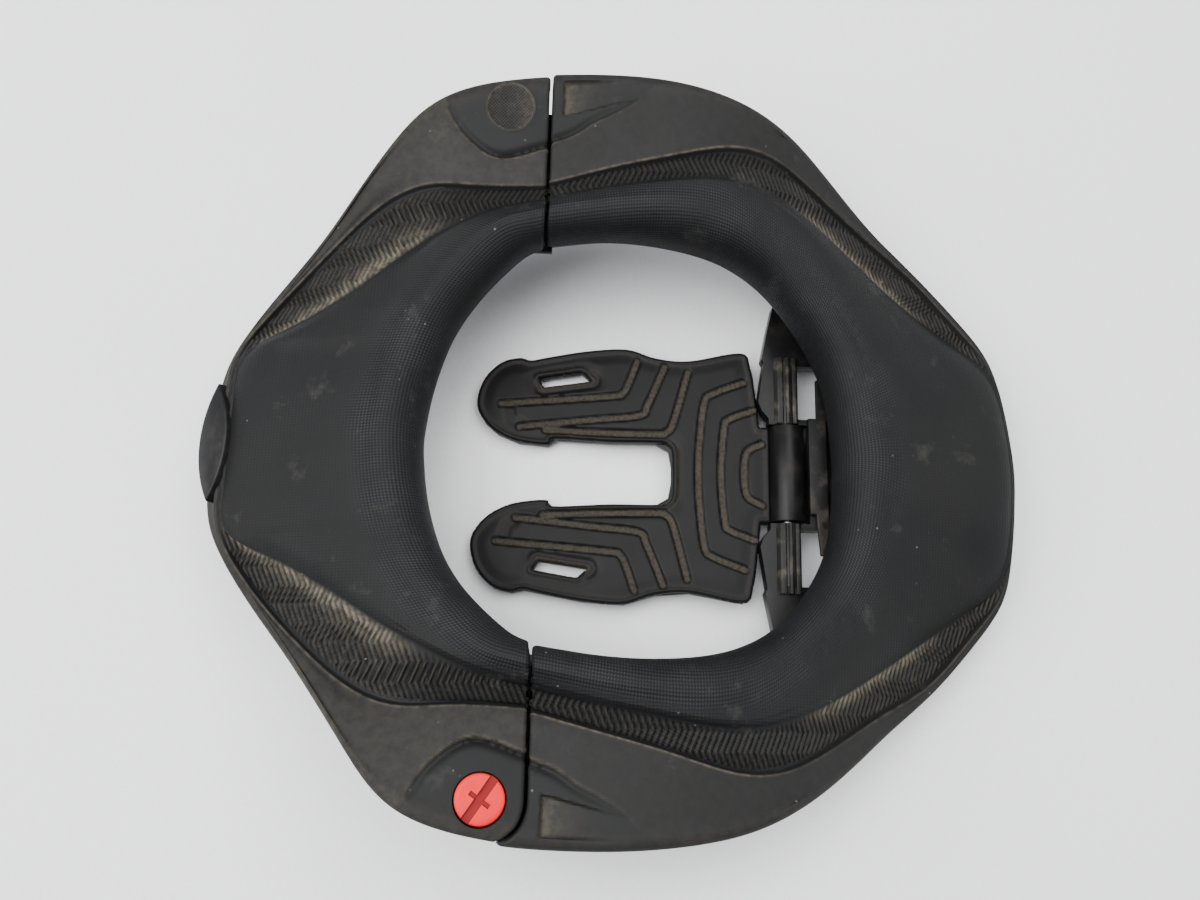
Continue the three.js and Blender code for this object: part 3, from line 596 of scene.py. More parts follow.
# Materials
class Graph:
    # a short way to write a material's nodes
    def __init__(self, name):
        self.material = bpy.data.materials.new(name)
        self.material.use_nodes = True
        self.nodes, self.links = self.material.node_tree.nodes, self.material.node_tree.links
        self.shader = self.nodes["Principled BSDF"]

    def add(self, kind, settings=None, **sockets):
        node = self.nodes.new(kind)
        for key, value in (settings or {}).items():
            setattr(node, key, value)
        for key, value in sockets.items():
            self.put(node, key.replace("_", " "), value)
        return node

    def put(self, node, key, value):
        socket = node.inputs[int(key[1:])] if key[0] == "#" else node.inputs[key]
        if isinstance(value, bpy.types.NodeSocket):
            self.links.new(value, socket)
        else:
            socket.default_value = value

    def math(self, operation, a, b=0.0, clamp=False):
        node = self.nodes.new("ShaderNodeMath")
        node.operation = operation
        node.use_clamp = clamp
        self.put(node, "#0", a)
        self.put(node, "#1", b)
        return node.outputs[0]

    def times(self, a, b, clamp=False):
        return self.math("MULTIPLY", a, b, clamp)

    def plus(self, a, b, clamp=False):
        return self.math("ADD", a, b, clamp)

    def place(self):
        return self.add("ShaderNodeTexCoord").outputs["Object"]

    def split(self, vector):
        node = self.add("ShaderNodeSeparateXYZ")
        self.links.new(vector, node.inputs[0])
        return node.outputs

    def mix(self, factor, a, b):
        node = self.nodes.new("ShaderNodeMix")
        node.data_type = "RGBA"
        self.put(node, "#0", factor)
        self.put(node, "#6", a)
        self.put(node, "#7", b)
        return node.outputs[2]

    def noise(self, vector, scale, detail=2.0, rough=0.5):
        node = self.nodes.new("ShaderNodeTexNoise")
        self.links.new(vector, node.inputs["Vector"])
        node.inputs["Scale"].default_value = scale
        node.inputs["Detail"].default_value = detail
        node.inputs["Roughness"].default_value = rough
        return node.outputs["Fac"]

    def range(self, value, low, high, toLow=0.0, toHigh=1.0):
        node = self.nodes.new("ShaderNodeMapRange")
        for key, v in (("#0", value), ("#1", low), ("#2", high), ("#3", toLow), ("#4", toHigh)):
            self.put(node, key, v)
        return node.outputs[0]

    def attribute(self, name):
        node = self.nodes.new("ShaderNodeAttribute")
        node.attribute_name = name
        return node.outputs["Fac"]

    def bump(self, height, distance, strength=1.0):
        node = self.nodes.new("ShaderNodeBump")
        node.inputs["Distance"].default_value = distance
        node.inputs["Strength"].default_value = strength
        self.links.new(height, node.inputs["Height"])
        return node.outputs["Normal"]

    def finish(self, base, rough, normal, specular=0.5):
        for key, value in (("Base Color", base), ("Roughness", rough), ("Normal", normal)):
            self.put(self.shader, key, value)
        self.shader.inputs["Specular IOR Level"].default_value = specular
        return self.material


def colour(r, g, b):
    return (r, g, b, 1.0)


foamLook = {
    "dark": colour(0.0050, 0.0052, 0.0057),
    "flange": colour(0.0082, 0.0084, 0.0088),
    "dust": colour(0.118, 0.103, 0.076),
    "speck": colour(0.17, 0.165, 0.15),
    "worn": colour(0.0125, 0.0124, 0.0116),
    # lighter weave ridges: partly worn threads, partly painted highlight on the relief
    "rollThreadWearAndSheen": colour(0.022, 0.0235, 0.0275),
    "flatThreadWearAndSheen": colour(0.019, 0.0185, 0.0165),
    # painted shade: the colour of the ribs' grooves and of the valley round the pin
    "groove": colour(0.0035, 0.0035, 0.0037),
    "smudge": colour(0.055, 0.053, 0.048),
    "cell": 2.5e-3,
    "dot": 1.5e-3,
}


def diamonds(g, vector, cell):
    # crossing diagonal waves, from -1 to 1
    across, length, _ = g.split(vector)
    turn, along = 2 * math.pi / cell, g.times(length, 0.8)
    first = g.math("SINE", g.times(g.plus(across, along), turn))
    second = g.math("SINE", g.times(g.math("SUBTRACT", across, along), turn))
    return g.times(first, second)


def foamMaterial():
    g = Graph("moulded foam")
    place = g.place()
    uv = g.add("ShaderNodeUVMap", {"uv_map": "surface"}).outputs["UV"]
    broad, fine = g.noise(place, 22, 3), g.noise(place, 900, 2)
    lattice = g.times(diamonds(g, uv, foamLook["cell"]), g.attribute("weave"))
    flatLattice = g.times(diamonds(g, place, foamLook["cell"]), g.attribute("plateau"))
    dotTurn = 2 * math.pi / foamLook["dot"]
    x, y, _ = g.split(place)
    dots = g.times(g.math("SINE", g.times(x, dotTurn)), g.math("SINE", g.times(y, dotTurn)))
    dots = g.times(g.math("MAXIMUM", dots, 0.0), g.attribute("patch"))
    height = g.plus(g.times(lattice, 0.5), g.times(dots, 1.6))
    height = g.plus(height, g.times(flatLattice, 0.18))
    height = g.plus(height, g.times(fine, 0.35))
    base = g.mix(g.attribute("flange"), foamLook["dark"], foamLook["flange"])
    base = g.mix(g.range(broad, 0.42, 0.72, 0, 0.35), base, foamLook["worn"])
    patchy = g.range(g.noise(place, 30, 4, 0.6), 0.42, 0.62, 0.25, 1)
    # lighter weave ridges on the roll and the plateau: partly worn threads, partly painted highlight standing in
    # for the relief's shading
    base = g.mix(g.times(g.range(lattice, 0.0, 0.8), patchy, True), base, foamLook["rollThreadWearAndSheen"])
    flatCells = g.range(flatLattice, 0.1, 0.9, 0, 0.5)
    base = g.mix(g.times(flatCells, patchy, True), base, foamLook["flatThreadWearAndSheen"])
    # painted shade in the ribs' grooves and in the valley round the pin
    base = g.mix(g.attribute("groove"), base, foamLook["groove"])
    smudge = g.range(g.noise(place, 48, 5, 0.7), 0.60, 0.72, 0, 0.28)
    base = g.mix(smudge, base, foamLook["smudge"])
    patches = g.range(g.noise(place, 260, 3, 0.65), 0.3, 0.62, 0.25, 1.15)
    grime = g.times(g.attribute("dust"), patches, True)
    base = g.mix(grime, base, foamLook["dust"])
    spots = g.add("ShaderNodeTexVoronoi", {"feature": "F1"}, Scale=160.0)
    g.links.new(place, spots.inputs["Vector"])
    rare = g.range(g.noise(place, 70, 1), 0.6, 0.68)
    specks = g.times(g.range(spots.outputs["Distance"], 0.10, 0.05), rare, True)
    base = g.mix(g.times(specks, 0.5), base, foamLook["speck"])
    rough = g.plus(g.range(broad, 0.3, 0.7, 0.55, 0.7), g.times(grime, 0.25), True)
    return g.finish(base, rough, g.bump(height, 0.00022), 0.17)


def plasticMaterial(name, base, dusty, rough, grainScale=1400.0, dustScale=90.0):
    g = Graph(name)
    place = g.place()
    broad, grain = g.noise(place, dustScale, 4, 0.6), g.noise(place, grainScale, 2)
    point = g.add("ShaderNodeNewGeometry").outputs["Pointiness"]
    crease = g.range(point, 0.5, 0.42, 0, 0.7)
    grime = g.times(g.plus(crease, g.range(broad, 0.5, 0.8, 0, 0.5)), dusty, True)
    shade = g.mix(g.range(broad, 0.3, 0.7), colour(*base), colour(*(1.25 * v for v in base)))
    roughness = g.range(broad, 0.25, 0.75, rough - 0.04, rough + 0.05)
    return g.finish(g.mix(grime, shade, foamLook["dust"]), roughness, g.bump(grain, 0.00008, 0.5), 0.15)


def padMaterial():
    g = Graph("ribbed pad")
    place = g.place()
    broad, grain = g.noise(place, 60, 3), g.noise(place, 700, 3, 0.6)
    grime = g.times(g.attribute("dust"), g.range(grain, 0.35, 0.6, 0.35, 1.1), True)
    shade = g.mix(g.range(broad, 0.3, 0.7), colour(0.0030, 0.0030, 0.0033), colour(0.0050, 0.0050, 0.0054))
    base = g.mix(grime, shade, colour(0.040, 0.034, 0.025))
    rough = g.plus(g.range(broad, 0.3, 0.7, 0.42, 0.52), g.times(grime, 0.3), True)
    return g.finish(base, rough, g.bump(grain, 0.00010, 0.6), 0.13)


def redMaterial():
    # painted shade: darker in the slot, which lies below the face of the head
    g = Graph("red pin")
    place = g.place()
    broad, grain = g.noise(place, 180, 3), g.noise(place, 1500, 2)
    shade = g.mix(g.range(broad, 0.3, 0.7), colour(0.66, 0.008, 0.011), colour(0.74, 0.011, 0.015))
    base = g.mix(g.range(g.split(place)[2], 0.0890, 0.0899), colour(0.20, 0.002, 0.003), shade)
    return g.finish(base, g.range(broad, 0.3, 0.7, 0.36, 0.46), g.bump(grain, 0.00005, 0.4), 0.14)


def metalMaterial():
    g = Graph("dark steel")
    place = g.place()
    broad, grain = g.noise(place, 120, 3), g.noise(place, 1600, 2)
    base = g.mix(g.range(broad, 0.3, 0.7), colour(0.20, 0.20, 0.205), colour(0.28, 0.28, 0.285))
    g.shader.inputs["Metallic"].default_value = 1.0
    return g.finish(base, g.range(broad, 0.3, 0.7, 0.32, 0.45), g.bump(grain, 0.00003, 0.4))


def setMaterial(piece, material):
    piece.data.materials.clear()
    piece.data.materials.append(material)
    for f in piece.data.polygons:
        f.material_index = 0


foamSkin = foamMaterial()
for piece in (frontFoam, rearFoam):
    setMaterial(piece, foamSkin)
steelRod = metalMaterial()
badgePlastic = plasticMaterial("badge plastic", (0.008, 0.008, 0.0085), 0.3, 0.38)
blackPlastic = plasticMaterial("black plastic", (0.0040, 0.0040, 0.0043), 0.18, 0.36)
dustyPlastic = plasticMaterial("dusty plastic", (0.0055, 0.0055, 0.0057), 0.9, 0.48)
padSkin = padMaterial()
pinRed = redMaterial()
print("stage: materials made")


# Back strut, hinge, pin and badge. Sizes in millimetres.
hinge = {"y": 119.488, "z": 19.5, "slope": 5.4}
strut = {
    "reach": 151,
    "halfWidth": 63,
    "spacing": 0.75,
    "top": 2.0,
    "depth": 3.7,
    "front": 8.0,
    "grooveDepth": 1.1,
    "grooveHalf": 1.75,
    "lip": 2.0,
}
# Half outline of the pad from its neck round one leg to the fork, as shares of halfWidth and reach
strutOutline = [
    (0.373, 0.086), (0.606, 0.096), (0.86, 0.112), (0.978, 0.143), (0.908, 0.311), (0.929, 0.419), (1.0, 0.515),
    (0.983, 0.642), (0.929, 0.771), (0.902, 0.827), (0.922, 0.864), (0.89, 0.92), (0.789, 0.967), (0.66, 0.993),
    (0.52, 0.998), (0.4, 0.972), (0.308, 0.928), (0.241, 0.86), (0.217, 0.763), (0.265, 0.742), (0.244, 0.563),
    (0.243, 0.41), (0.222, 0.376), (0.17, 0.366), (0.06, 0.364),
]
strapSlot = [(0.754, 0.8), (0.808, 0.662), (0.737, 0.628), (0.683, 0.783)]
padGrooves = [
    [(0.54, 0.92), (0.607, 0.573), (0.631, 0.528), (0.705, 0.509), (0.893, 0.481)],
    [(0.358, 0.859), (0.421, 0.61), (0.458, 0.469), (0.548, 0.444), (0.854, 0.391)],
    [(0.807, 0.316), (0.4, 0.362), (0.325, 0.385), (0.309, 0.41), (0.317, 0.597), (0.336, 0.775)],
    [(0.731, 0.137), (0.64, 0.233), (0.566, 0.262), (0.249, 0.278), (0, 0.282), (-0.249, 0.278)],
    [(0.507, 0.106), (0.434, 0.183), (0.361, 0.199), (0, 0.21), (-0.361, 0.199)],
    [(0.239, 0.08), (0.191, 0.12), (0.128, 0.133), (0, 0.137), (-0.128, 0.133)],
]
tipBowl = [(0.51, 0.892), (0.413, 0.884), (0.382, 0.857)]
forkLine = [(0.262, 0.373), (0.184, 0.341), (0, 0.338)]
curveSteps = 5


def onStrut(rows):
    return [(x * strut["halfWidth"], -v * strut["reach"]) for x, v in rows]


def strutEdge():
    neck = (strutOutline[0][0] * strut["halfWidth"], -strut["front"])
    half = [neck] + curveThrough(onStrut(strutOutline), curveSteps)
    return half + [(-x, y) for x, y in half[::-1]]


def insideOf(x, y, loop):
    # True for the points within a closed outline
    within = np.zeros(x.shape, bool)
    for (ax, ay), (bx, by) in zip(loop, loop[1:] + loop[:1]):
        if ay == by:
            continue
        crosses = ((ay > y) != (by > y)) & (x < (bx - ax) * (y - ay) / (by - ay) + ax)
        within ^= crosses
    return within


def nearestOn(x, y, loop):
    # the nearest point of a closed outline and its distance
    best, nx, ny = np.full(x.shape, 1e9), np.zeros(x.shape), np.zeros(x.shape)
    for (ax, ay), (bx, by) in zip(loop, loop[1:] + loop[:1]):
        dx, dy = bx - ax, by - ay
        f = np.clip(((x - ax) * dx + (y - ay) * dy) / max(dx * dx + dy * dy, 1e-9), 0, 1)
        qx, qy = ax + f * dx, ay + f * dy
        d = np.hypot(x - qx, y - qy)
        closer = d < best
        nx, ny = np.where(closer, qx, nx), np.where(closer, qy, ny)
        best = np.minimum(best, d)
    return best, nx, ny


def leanPoints(points):
    # from the strut's own plane, with the hinge axis at y = 0, to the model's metres
    angle = math.radians(hinge["slope"])
    x, y, z = points[:, 0], points[:, 1], points[:, 2]
    leant = np.stack([x, y * math.cos(angle) - z * math.sin(angle) + hinge["y"] - middleY,
                      y * math.sin(angle) + z * math.cos(angle) + hinge["z"]], axis=1)
    return leant * 0.001


def extruded(bm, faces):
    # the vertices of a new copy of the faces, joined to them by walls
    drawn = bmesh.ops.extrude_face_region(bm, geom=faces, use_keep_orig=True)
    return [v for v in drawn["geom"] if isinstance(v, bmesh.types.BMVert)]


def keenEdges(bm, degrees):
    limit = math.radians(degrees)
    return [e for e in bm.edges if len(e.link_faces) == 2 and e.calc_face_angle(0) > limit]


def bevelEdges(bm, edges, width, segments):
    bmesh.ops.bevel(bm, geom=edges, offset=width, offset_type="OFFSET", segments=segments, profile=0.5,
                    affect="EDGES", material=-1, clamp_overlap=True)


def outward(bm):
    bmesh.ops.recalc_face_normals(bm, faces=bm.faces)


def makePad():
    edge = strutEdge()
    slots = [onStrut(strapSlot), [(-x, y) for x, y in onStrut(strapSlot)][::-1]]
    step = strut["spacing"]
    columns = int(2 * (strut["halfWidth"] + 2) / step)
    rows = int((strut["reach"] + 4) / step)
    bm = bmesh.new()
    bmesh.ops.create_grid(bm, x_segments=columns, y_segments=rows, size=0.5)
    spots = np.array([v.co for v in bm.verts])
    x, y = spots[:, 0] * columns * step, (spots[:, 1] - 0.5) * rows * step
    within = insideOf(x, y, edge)
    toEdge, nx, ny = nearestOn(x, y, edge)
    signed = np.where(within, toEdge, -toEdge)
    for hole in slots:
        inHole = insideOf(x, y, hole)
        d, hx, hy = nearestOn(x, y, hole)
        s = np.where(inHole, -d, d)
        closer = s < signed
        signed, nx, ny = np.where(closer, s, signed), np.where(closer, hx, nx), np.where(closer, hy, ny)
    onEdge = np.abs(signed) < 0.5 * step
    x, y = np.where(onEdge, nx, x), np.where(onEdge, ny, y)
    depth = np.where(onEdge, 0, signed)
    dz, dust = padRelief(x, y, depth)
    bm.verts.ensure_lookup_table()
    for v, px, py, pz in zip(bm.verts, x, y, dz):
        v.co = (px, py, strut["top"] + pz)
    outside = depth < 0
    tone = bm.verts.layers.float.new("dust")
    for v, amount in zip(bm.verts, dust):
        v[tone] = amount
    doomed = [v for v, gone in zip(bm.verts, outside) if gone]
    bmesh.ops.delete(bm, geom=doomed, context="VERTS")
    bmesh.ops.delete(bm, geom=[v for v in bm.verts if not v.link_faces], context="VERTS")
    for v in extruded(bm, bm.faces[:]):
        v.co.z = strut["top"] - strut["depth"]
        v[tone] = 0
    outward(bm)
    placed = leanPoints(np.array([v.co for v in bm.verts]))
    for v, co in zip(bm.verts, placed.tolist()):
        v.co = co
    return newPiece("strut_pad_cover", bm)


def padRelief(x, y, depth):
    # height and dust over the pad: raised lip, grooves with brown floors, bowls at the leg tips
    side = np.abs(x)
    toRows = lambda rows: toLine(side, y, rows)[0]
    dz = -1.3 * (1 - np.sqrt(np.clip(1 - (1 - np.clip(depth / 1.3, 0, 1)) ** 2, 0, 1)))
    dz = dz - 0.45 * smoothStep((depth - strut["lip"]) / 0.8) * smoothStep((9 - depth) / 6)
    dust = 0.30 * bump(depth - strut["lip"] - 0.9, 0.6)
    for rows in padGrooves:
        d = toRows(curveThrough(onStrut(rows), curveSteps))
        wide = strut["grooveHalf"]
        floor = smoothStep((wide + 0.45 - d) / 0.9)
        dz = dz - strut["grooveDepth"] * floor
        dust = np.maximum(dust, 0.95 * smoothStep((wide - 0.1 - d) / 0.6))
    d = toRows(curveThrough(onStrut(forkLine), curveSteps))
    dz = dz - 0.5 * bump(d, 0.7)
    dust = np.maximum(dust, 0.35 * bump(d - 0.9, 0.6))
    d = toRows(onStrut(tipBowl))
    dz = dz - 0.6 * smoothStep((4.2 - d) / 3.0)
    dust = np.maximum(dust, 0.30 * bump(d - 3.4, 0.9))
    nearSlot = onStrut(strapSlot)
    d = toRows(nearSlot[2:])
    dz = dz - 0.7 * smoothStep((5.5 - d) / 2.5)
    dust = np.maximum(dust, 0.65 * smoothStep((2.4 - d) / 1.2))
    d = toRows(nearSlot + nearSlot[:1])
    dust = np.maximum(dust, 0.30 * bump(d - 0.6, 0.6))
    rise = np.clip((-y / strut["reach"] - 0.45) / 0.5, 0, 1) * bump(side / strut["halfWidth"] - 0.62, 0.2)
    return dz + 0.5 * rise, np.clip(dust, 0, 1)


def dressed(node, name, width, segments=2, sharp=30):
    # stands for a CAD node: its loose triangles joined, its flat faces made whole, its edges rounded
    bm = bmesh.new()
    bm.from_mesh(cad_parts[node].data)
    bmesh.ops.remove_doubles(bm, verts=bm.verts, dist=1e-5)
    bmesh.ops.dissolve_limit(bm, angle_limit=math.radians(2), verts=bm.verts, edges=bm.edges)
    bevelEdges(bm, keenEdges(bm, sharp), width * 0.001, segments)
    bmesh.ops.triangulate(bm, faces=[f for f in bm.faces if len(f.verts) > 4])
    outward(bm)
    piece = newPiece(name, bm)
    smoothShade(piece, 40)
    return piece


def prismPiece(name, outline, low, high):
    bm = bmesh.new()
    base = bm.faces.new([bm.verts.new((x * 0.001, (y - middleY) * 0.001, low * 0.001)) for x, y in outline])
    bmesh.ops.translate(bm, verts=extruded(bm, [base]), vec=(0, 0, (high - low) * 0.001))
    outward(bm)
    return newPiece(name, bm)


def rounded(piece, width, segments=2):
    edges = piece.modifiers.new("rounded", "BEVEL")
    edges.width, edges.segments, edges.limit_method = width * 0.001, segments, "ANGLE"
    applyModifiers(piece)
    smoothShade(piece, 40)


def declare(piece, node, body, material):
    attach(piece, body)
    if node:
        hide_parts(node)
    setMaterial(piece, material)


pad = makePad()
smoothShade(pad, 60)
declare(pad, "strut_pad", "strut", padSkin)
print("stage: strut pad", len(pad.data.polygons), "faces")

plate = dressed("strut_plate", "strut_plate_body", 0.5, sharp=50)
declare(plate, "strut_plate", "strut", blackPlastic)

# Hinge knuckles: a ridge, a slot line and a groove run along each one
knuckle = {
    "inner": 24.4,
    "outer": 57.5,
    "profile": [
        (-6.6, 0.0), (-6.6, 4.4), (-5.2, 6.5), (-2.8, 6.9), (-2.2, 6.1), (-1.6, 6.1), (-1.0, 7.2), (0.2, 7.4),
        (0.8, 6.6), (1.1, 5.6), (1.8, 5.6), (2.1, 6.6), (3.8, 6.6), (4.6, 5.4), (4.9, 3.0), (4.9, 0.0),
        (4.9, -4.0), (2.5, -6.4), (-2.5, -6.4), (-6.0, -4.0),
    ],
}


def makeKnuckle(name, side):
    bm = bmesh.new()
    x0, x1 = side * knuckle["inner"], side * knuckle["outer"]
    y0, z0 = hinge["y"] - middleY, hinge["z"]
    end = bm.faces.new([bm.verts.new((x0, y0 + y, z0 + z)) for y, z in knuckle["profile"]])
    bmesh.ops.translate(bm, verts=extruded(bm, [end]), vec=(x1 - x0, 0, 0))
    outward(bm)
    bevelEdges(bm, keenEdges(bm, 24), 0.22, 2)
    bmesh.ops.scale(bm, verts=bm.verts, vec=(0.001, 0.001, 0.001))
    outward(bm)
    piece = newPiece(name, bm)
    smoothShade(piece, 40)
    declare(piece, None, "rear_half", knucklePlastic)


knucklePlastic = plasticMaterial("worn plastic", (0.0105, 0.0105, 0.0100), 1.3, 0.45, dustScale=160.0)
makeKnuckle("knuckle_right", -1)
makeKnuckle("knuckle_left", 1)
bracket = dressed("hinge_bracket", "hinge_bracket_body", 0.8, segments=3)
declare(bracket, "hinge_bracket", "rear_half", blackPlastic)
lockPlate = {
    "outline": [
        (-46.4, 132.8), (-27, 132.8), (-27, 128.7), (20, 128.7), (20, 131.6), (39.5, 133.2), (39.5, 137.6),
        (-46.4, 137.6),
    ],
    "low": 24,
    "high": 26.6,
}
bar = prismPiece("lock_bar_plate", lockPlate["outline"], lockPlate["low"], lockPlate["high"])
rounded(bar, 0.6, 3)
declare(bar, "lock_bar", "rear_half", dustyPlastic)
rod = dressed("hinge_rod", "hinge_rod_body", 0.4)
declare(rod, "hinge_rod", "rear_half", steelRod)
print("stage: hinge made")

pinShape = {
    "headLow": 86.8,
    "headTop": foam["pinTop"],
    "headRadius": foam["pinHead"],
    "shaftRadius": 4.0,
    "shaftLow": 55.5,
    "chamfer": 0.6,
    "boreRadius": 4.4,
    "slotLength": 30,
    "slotWidth": 3.6,
    "slotDepth": 1.9,
    "slotAngle": -34,
    "crossWidth": 1.9,
    "crossReach": 4.6,
    "crossDepth": 1.2,
    "edge": 0.22,
}


def boxPiece(name, x, y, low, high, long, wide, degrees):
    bm = bmesh.new()
    bmesh.ops.create_cube(bm, size=1)
    bmesh.ops.scale(bm, verts=bm.verts, vec=(long * 0.001, wide * 0.001, (high - low) * 0.001))
    bmesh.ops.rotate(bm, verts=bm.verts, matrix=Matrix.Rotation(math.radians(degrees), 3, "Z"))
    bmesh.ops.translate(bm, verts=bm.verts, vec=(x * 0.001, (y - middleY) * 0.001, (low + high) / 2000))
    return newPiece(name, bm)


def makePin():
    px, py = ring["pin"]
    shaft, head, chamfer = pinShape["shaftRadius"], pinShape["headRadius"], pinShape["chamfer"]
    shaftLow, low, top = pinShape["shaftLow"], pinShape["headLow"], pinShape["headTop"]
    profile = [
        (0.0, shaftLow), (shaft - chamfer, shaftLow), (shaft, shaftLow + chamfer), (shaft, low),
        (head - chamfer, low), (head, low + chamfer), (head, top - 1.1), (head - 0.15, top - 0.6),
        (head - 0.5, top - 0.25), (head - 1.1, top - 0.05), (head - 2.2, top), (0.0, top),
    ]
    bm = bmesh.new()
    chain = [bm.verts.new((r, 0, z)) for r, z in profile]
    edges = [bm.edges.new(pair) for pair in zip(chain[:-1], chain[1:])]
    bmesh.ops.spin(bm, geom=chain + edges, cent=(0, 0, 0), axis=(0, 0, 1), angle=2 * math.pi, steps=96,
                   use_merge=True)
    bmesh.ops.remove_doubles(bm, verts=bm.verts, dist=1e-4)
    outward(bm)
    bmesh.ops.translate(bm, verts=bm.verts, vec=(px, py - middleY, 0))
    bmesh.ops.scale(bm, verts=bm.verts, vec=(0.001, 0.001, 0.001))
    piece = newPiece("release_pin_head", bm)
    cuts = (
        ("coin slot", pinShape["slotDepth"], pinShape["slotLength"], pinShape["slotWidth"], 0),
        ("cross arm", pinShape["crossDepth"], 2 * pinShape["crossReach"], pinShape["crossWidth"], 90),
    )
    for name, depth, long, wide, turn in cuts:
        cutWith(piece, boxPiece(name, px, py, top - depth, top + 4, long, wide, pinShape["slotAngle"] + turn))
    bevel = piece.modifiers.new("rounded", "BEVEL")
    bevel.width, bevel.segments, bevel.limit_method = pinShape["edge"] * 0.001, 2, "ANGLE"
    bevel.angle_limit = math.radians(40)
    applyModifiers(piece)
    smoothShade(piece, 35)
    for f in piece.data.polygons:
        f.use_smooth = f.normal.z < 0.999
    declare(piece, "release_pin", "pin", pinRed)


makePin()
badge = {"halfLength": 27, "halfHeight": 8.7, "thick": 9, "border": 0.9, "y": -139.4, "z": 38.6, "fall": 35}


def makeBadge():
    # a blank lens over the front edge, with a rounded border
    bow = (badge["halfLength"] ** 2 - badge["halfHeight"] ** 2) / (2 * badge["halfHeight"])
    radius = bow + badge["halfHeight"]
    half = math.asin(badge["halfLength"] / radius)
    upper = [(radius * math.sin(a), radius * math.cos(a) - bow) for a in np.linspace(-half, half, 41)[:-1]]
    bm = bmesh.new()
    lens = bm.faces.new([bm.verts.new((x, y, 0)) for x, y in upper + [(-x, -y) for x, y in upper]])
    top = extruded(bm, [lens])
    bmesh.ops.translate(bm, verts=top, vec=(0, 0, badge["thick"]))
    bevelEdges(bm, [e for e in bm.edges if all(v in top for v in e.verts)], badge["border"], 4)
    outward(bm)
    bmesh.ops.rotate(bm, verts=bm.verts, matrix=Matrix.Rotation(math.radians(badge["fall"]), 3, "X"))
    bmesh.ops.translate(bm, verts=bm.verts, vec=(0, badge["y"] - middleY, badge["z"]))
    bmesh.ops.scale(bm, verts=bm.verts, vec=(0.001, 0.001, 0.001))
    piece = newPiece("badge_plate", bm)
    smoothShade(piece, 40)
    declare(piece, "badge", "front_half", badgePlastic)


makeBadge()


# Chassis halves, under the foam
chassis = {
    "clear": 0.4,
    "frontInset": 6,
    "rearInset": 14,
    "footWidth": 10,
    "neckFoot": 6,
    "recess": 3,
    "spacing": 2.4,
    "tongueHalf": 13.5,
    "tongueBack": 1.8,
    "tongueSteps": 32,
    "tongue": (57.0, 63.6),
}


def chassisControls(insets):
    # closed section in the foam's order: inner foot, top under the foam, outer wall, then the underside
    def controls(c):
        neck, border, edge, rim, crest, foot = c["neck"], c["border"], c["edge"], c["rim"], c["crest"], c["foot"]
        span = planSpan(neck, border)
        roll = softMin(ring["rollWidth"], ring["rollShareMost"] * span, 4)
        inset = np.linspace(insets[0], insets[1], len(neck))
        share = np.clip((inset - ring["lipWidth"]) / (roll - ring["lipWidth"]), 0, 0.9)
        lipZ, crestZ = neck[:, 2] - ring["neckDrop"], crest - ring["crestDepth"]
        reach = ring["lipWidth"] + (roll - ring["lipWidth"]) * share
        gap, zero = chassis["clear"], np.zeros(len(neck))
        footNeck, footRim, wall = foot[:, 0], foot[:, 1], rim[:, 2] - ring["rimDrop"]
        inner = lambda d, z: onLine(neck, border, reach + d, z)
        outer = lambda d, z: onLine(rim, neck, zero + d, z)
        top = lipZ + (crestZ - lipZ) * share - gap
        return [
            (inner(1.2, footNeck), 1),
            (inner(0.3, footNeck + 0.5), 1),
            (inner(0, footNeck + 1.5), 2),
            (inner(0, top - 1.0), 1),
            (inner(0.8, top), 1),
            (onLine(neck, border, roll, crestZ - gap), 1),
            (below(border, ring["foamDepth"] + gap), 1),
            (below(edge, ring["foamDepth"] + gap), wingSteps),
            (outer(4.5, wall - gap), 1),
            (outer(1.8, wall - gap), 1),
            (outer(1.2, wall - gap - 0.7), 3),
            (outer(ring["rimInset"] - 0.4, footRim + 2.0), 1),
            (outer(ring["rimInset"] - 0.1, footRim + 0.6), 1),
            (outer(ring["rimInset"] + 1.3, footRim), 1),
            (outer(ring["rimInset"] + chassis["footWidth"], footRim), 1),
            (outer(ring["rimInset"] + chassis["footWidth"] + 1, footRim + chassis["recess"]), wingSteps),
            (inner(chassis["neckFoot"] + 1, footNeck + chassis["recess"]), 1),
            (inner(chassis["neckFoot"], footNeck), 1),
            (inner(1.8, footNeck), 1),
        ]
    return controls


def tongueOutline(side, room):
    half, (px, py) = chassis["tongueHalf"] + room, ring["pin"]
    steps, back = chassis["tongueSteps"], chassis["tongueBack"]
    turns = [math.radians(180 + 180 * k / steps) for k in range(steps + 1)]
    rounding = [(side * px + half * math.cos(a), py + half * math.sin(a)) for a in turns]
    return rounding + [(side * px + half, back), (side * px - half, back)]


def cutBore(piece, radius):
    cutWith(piece, cylinderPiece("bore", *ring["pin"], 20, 100, radius))


# the room for the bracket, and for the bar above it
bracketRoom = [
    (26.5, 129.2), (26.5, 105), (56, 105), (86.5, 110), (87, 124.3), (75.5, 134.8), (61, 144.6), (39.2, 151.3),
    (17.6, 153),
]
barRoom = [(-42, 131), (42, 131), (42, 138), (-42, 138)]


def makeChassis(name, node, rows, side, insets, body):
    grid, _ = wholeHalf(rows, side, chassisControls(insets), chassis["spacing"], 0.4)
    piece = gridMesh(name, toModel(grid), {})
    if side < 0:
        low, high = chassis["tongue"]
        room = chassis["clear"]
        for turn in (-1, 1):
            cutWith(piece, prismPiece("tongue room", tongueOutline(turn, room), low - room, high + room))
        cutBore(piece, pinShape["boreRadius"])
    else:
        whole = bracketRoom + [(-x, y) for x, y in bracketRoom[::-1]]
        cutWith(piece, prismPiece("bracket room", whole, -1, 24.2))
        cutWith(piece, prismPiece("bar room", barRoom, 24, 28))
    smoothShade(piece, 40)
    declare(piece, node, body, blackPlastic)
    print("stage:", name, len(piece.data.polygons), "faces")


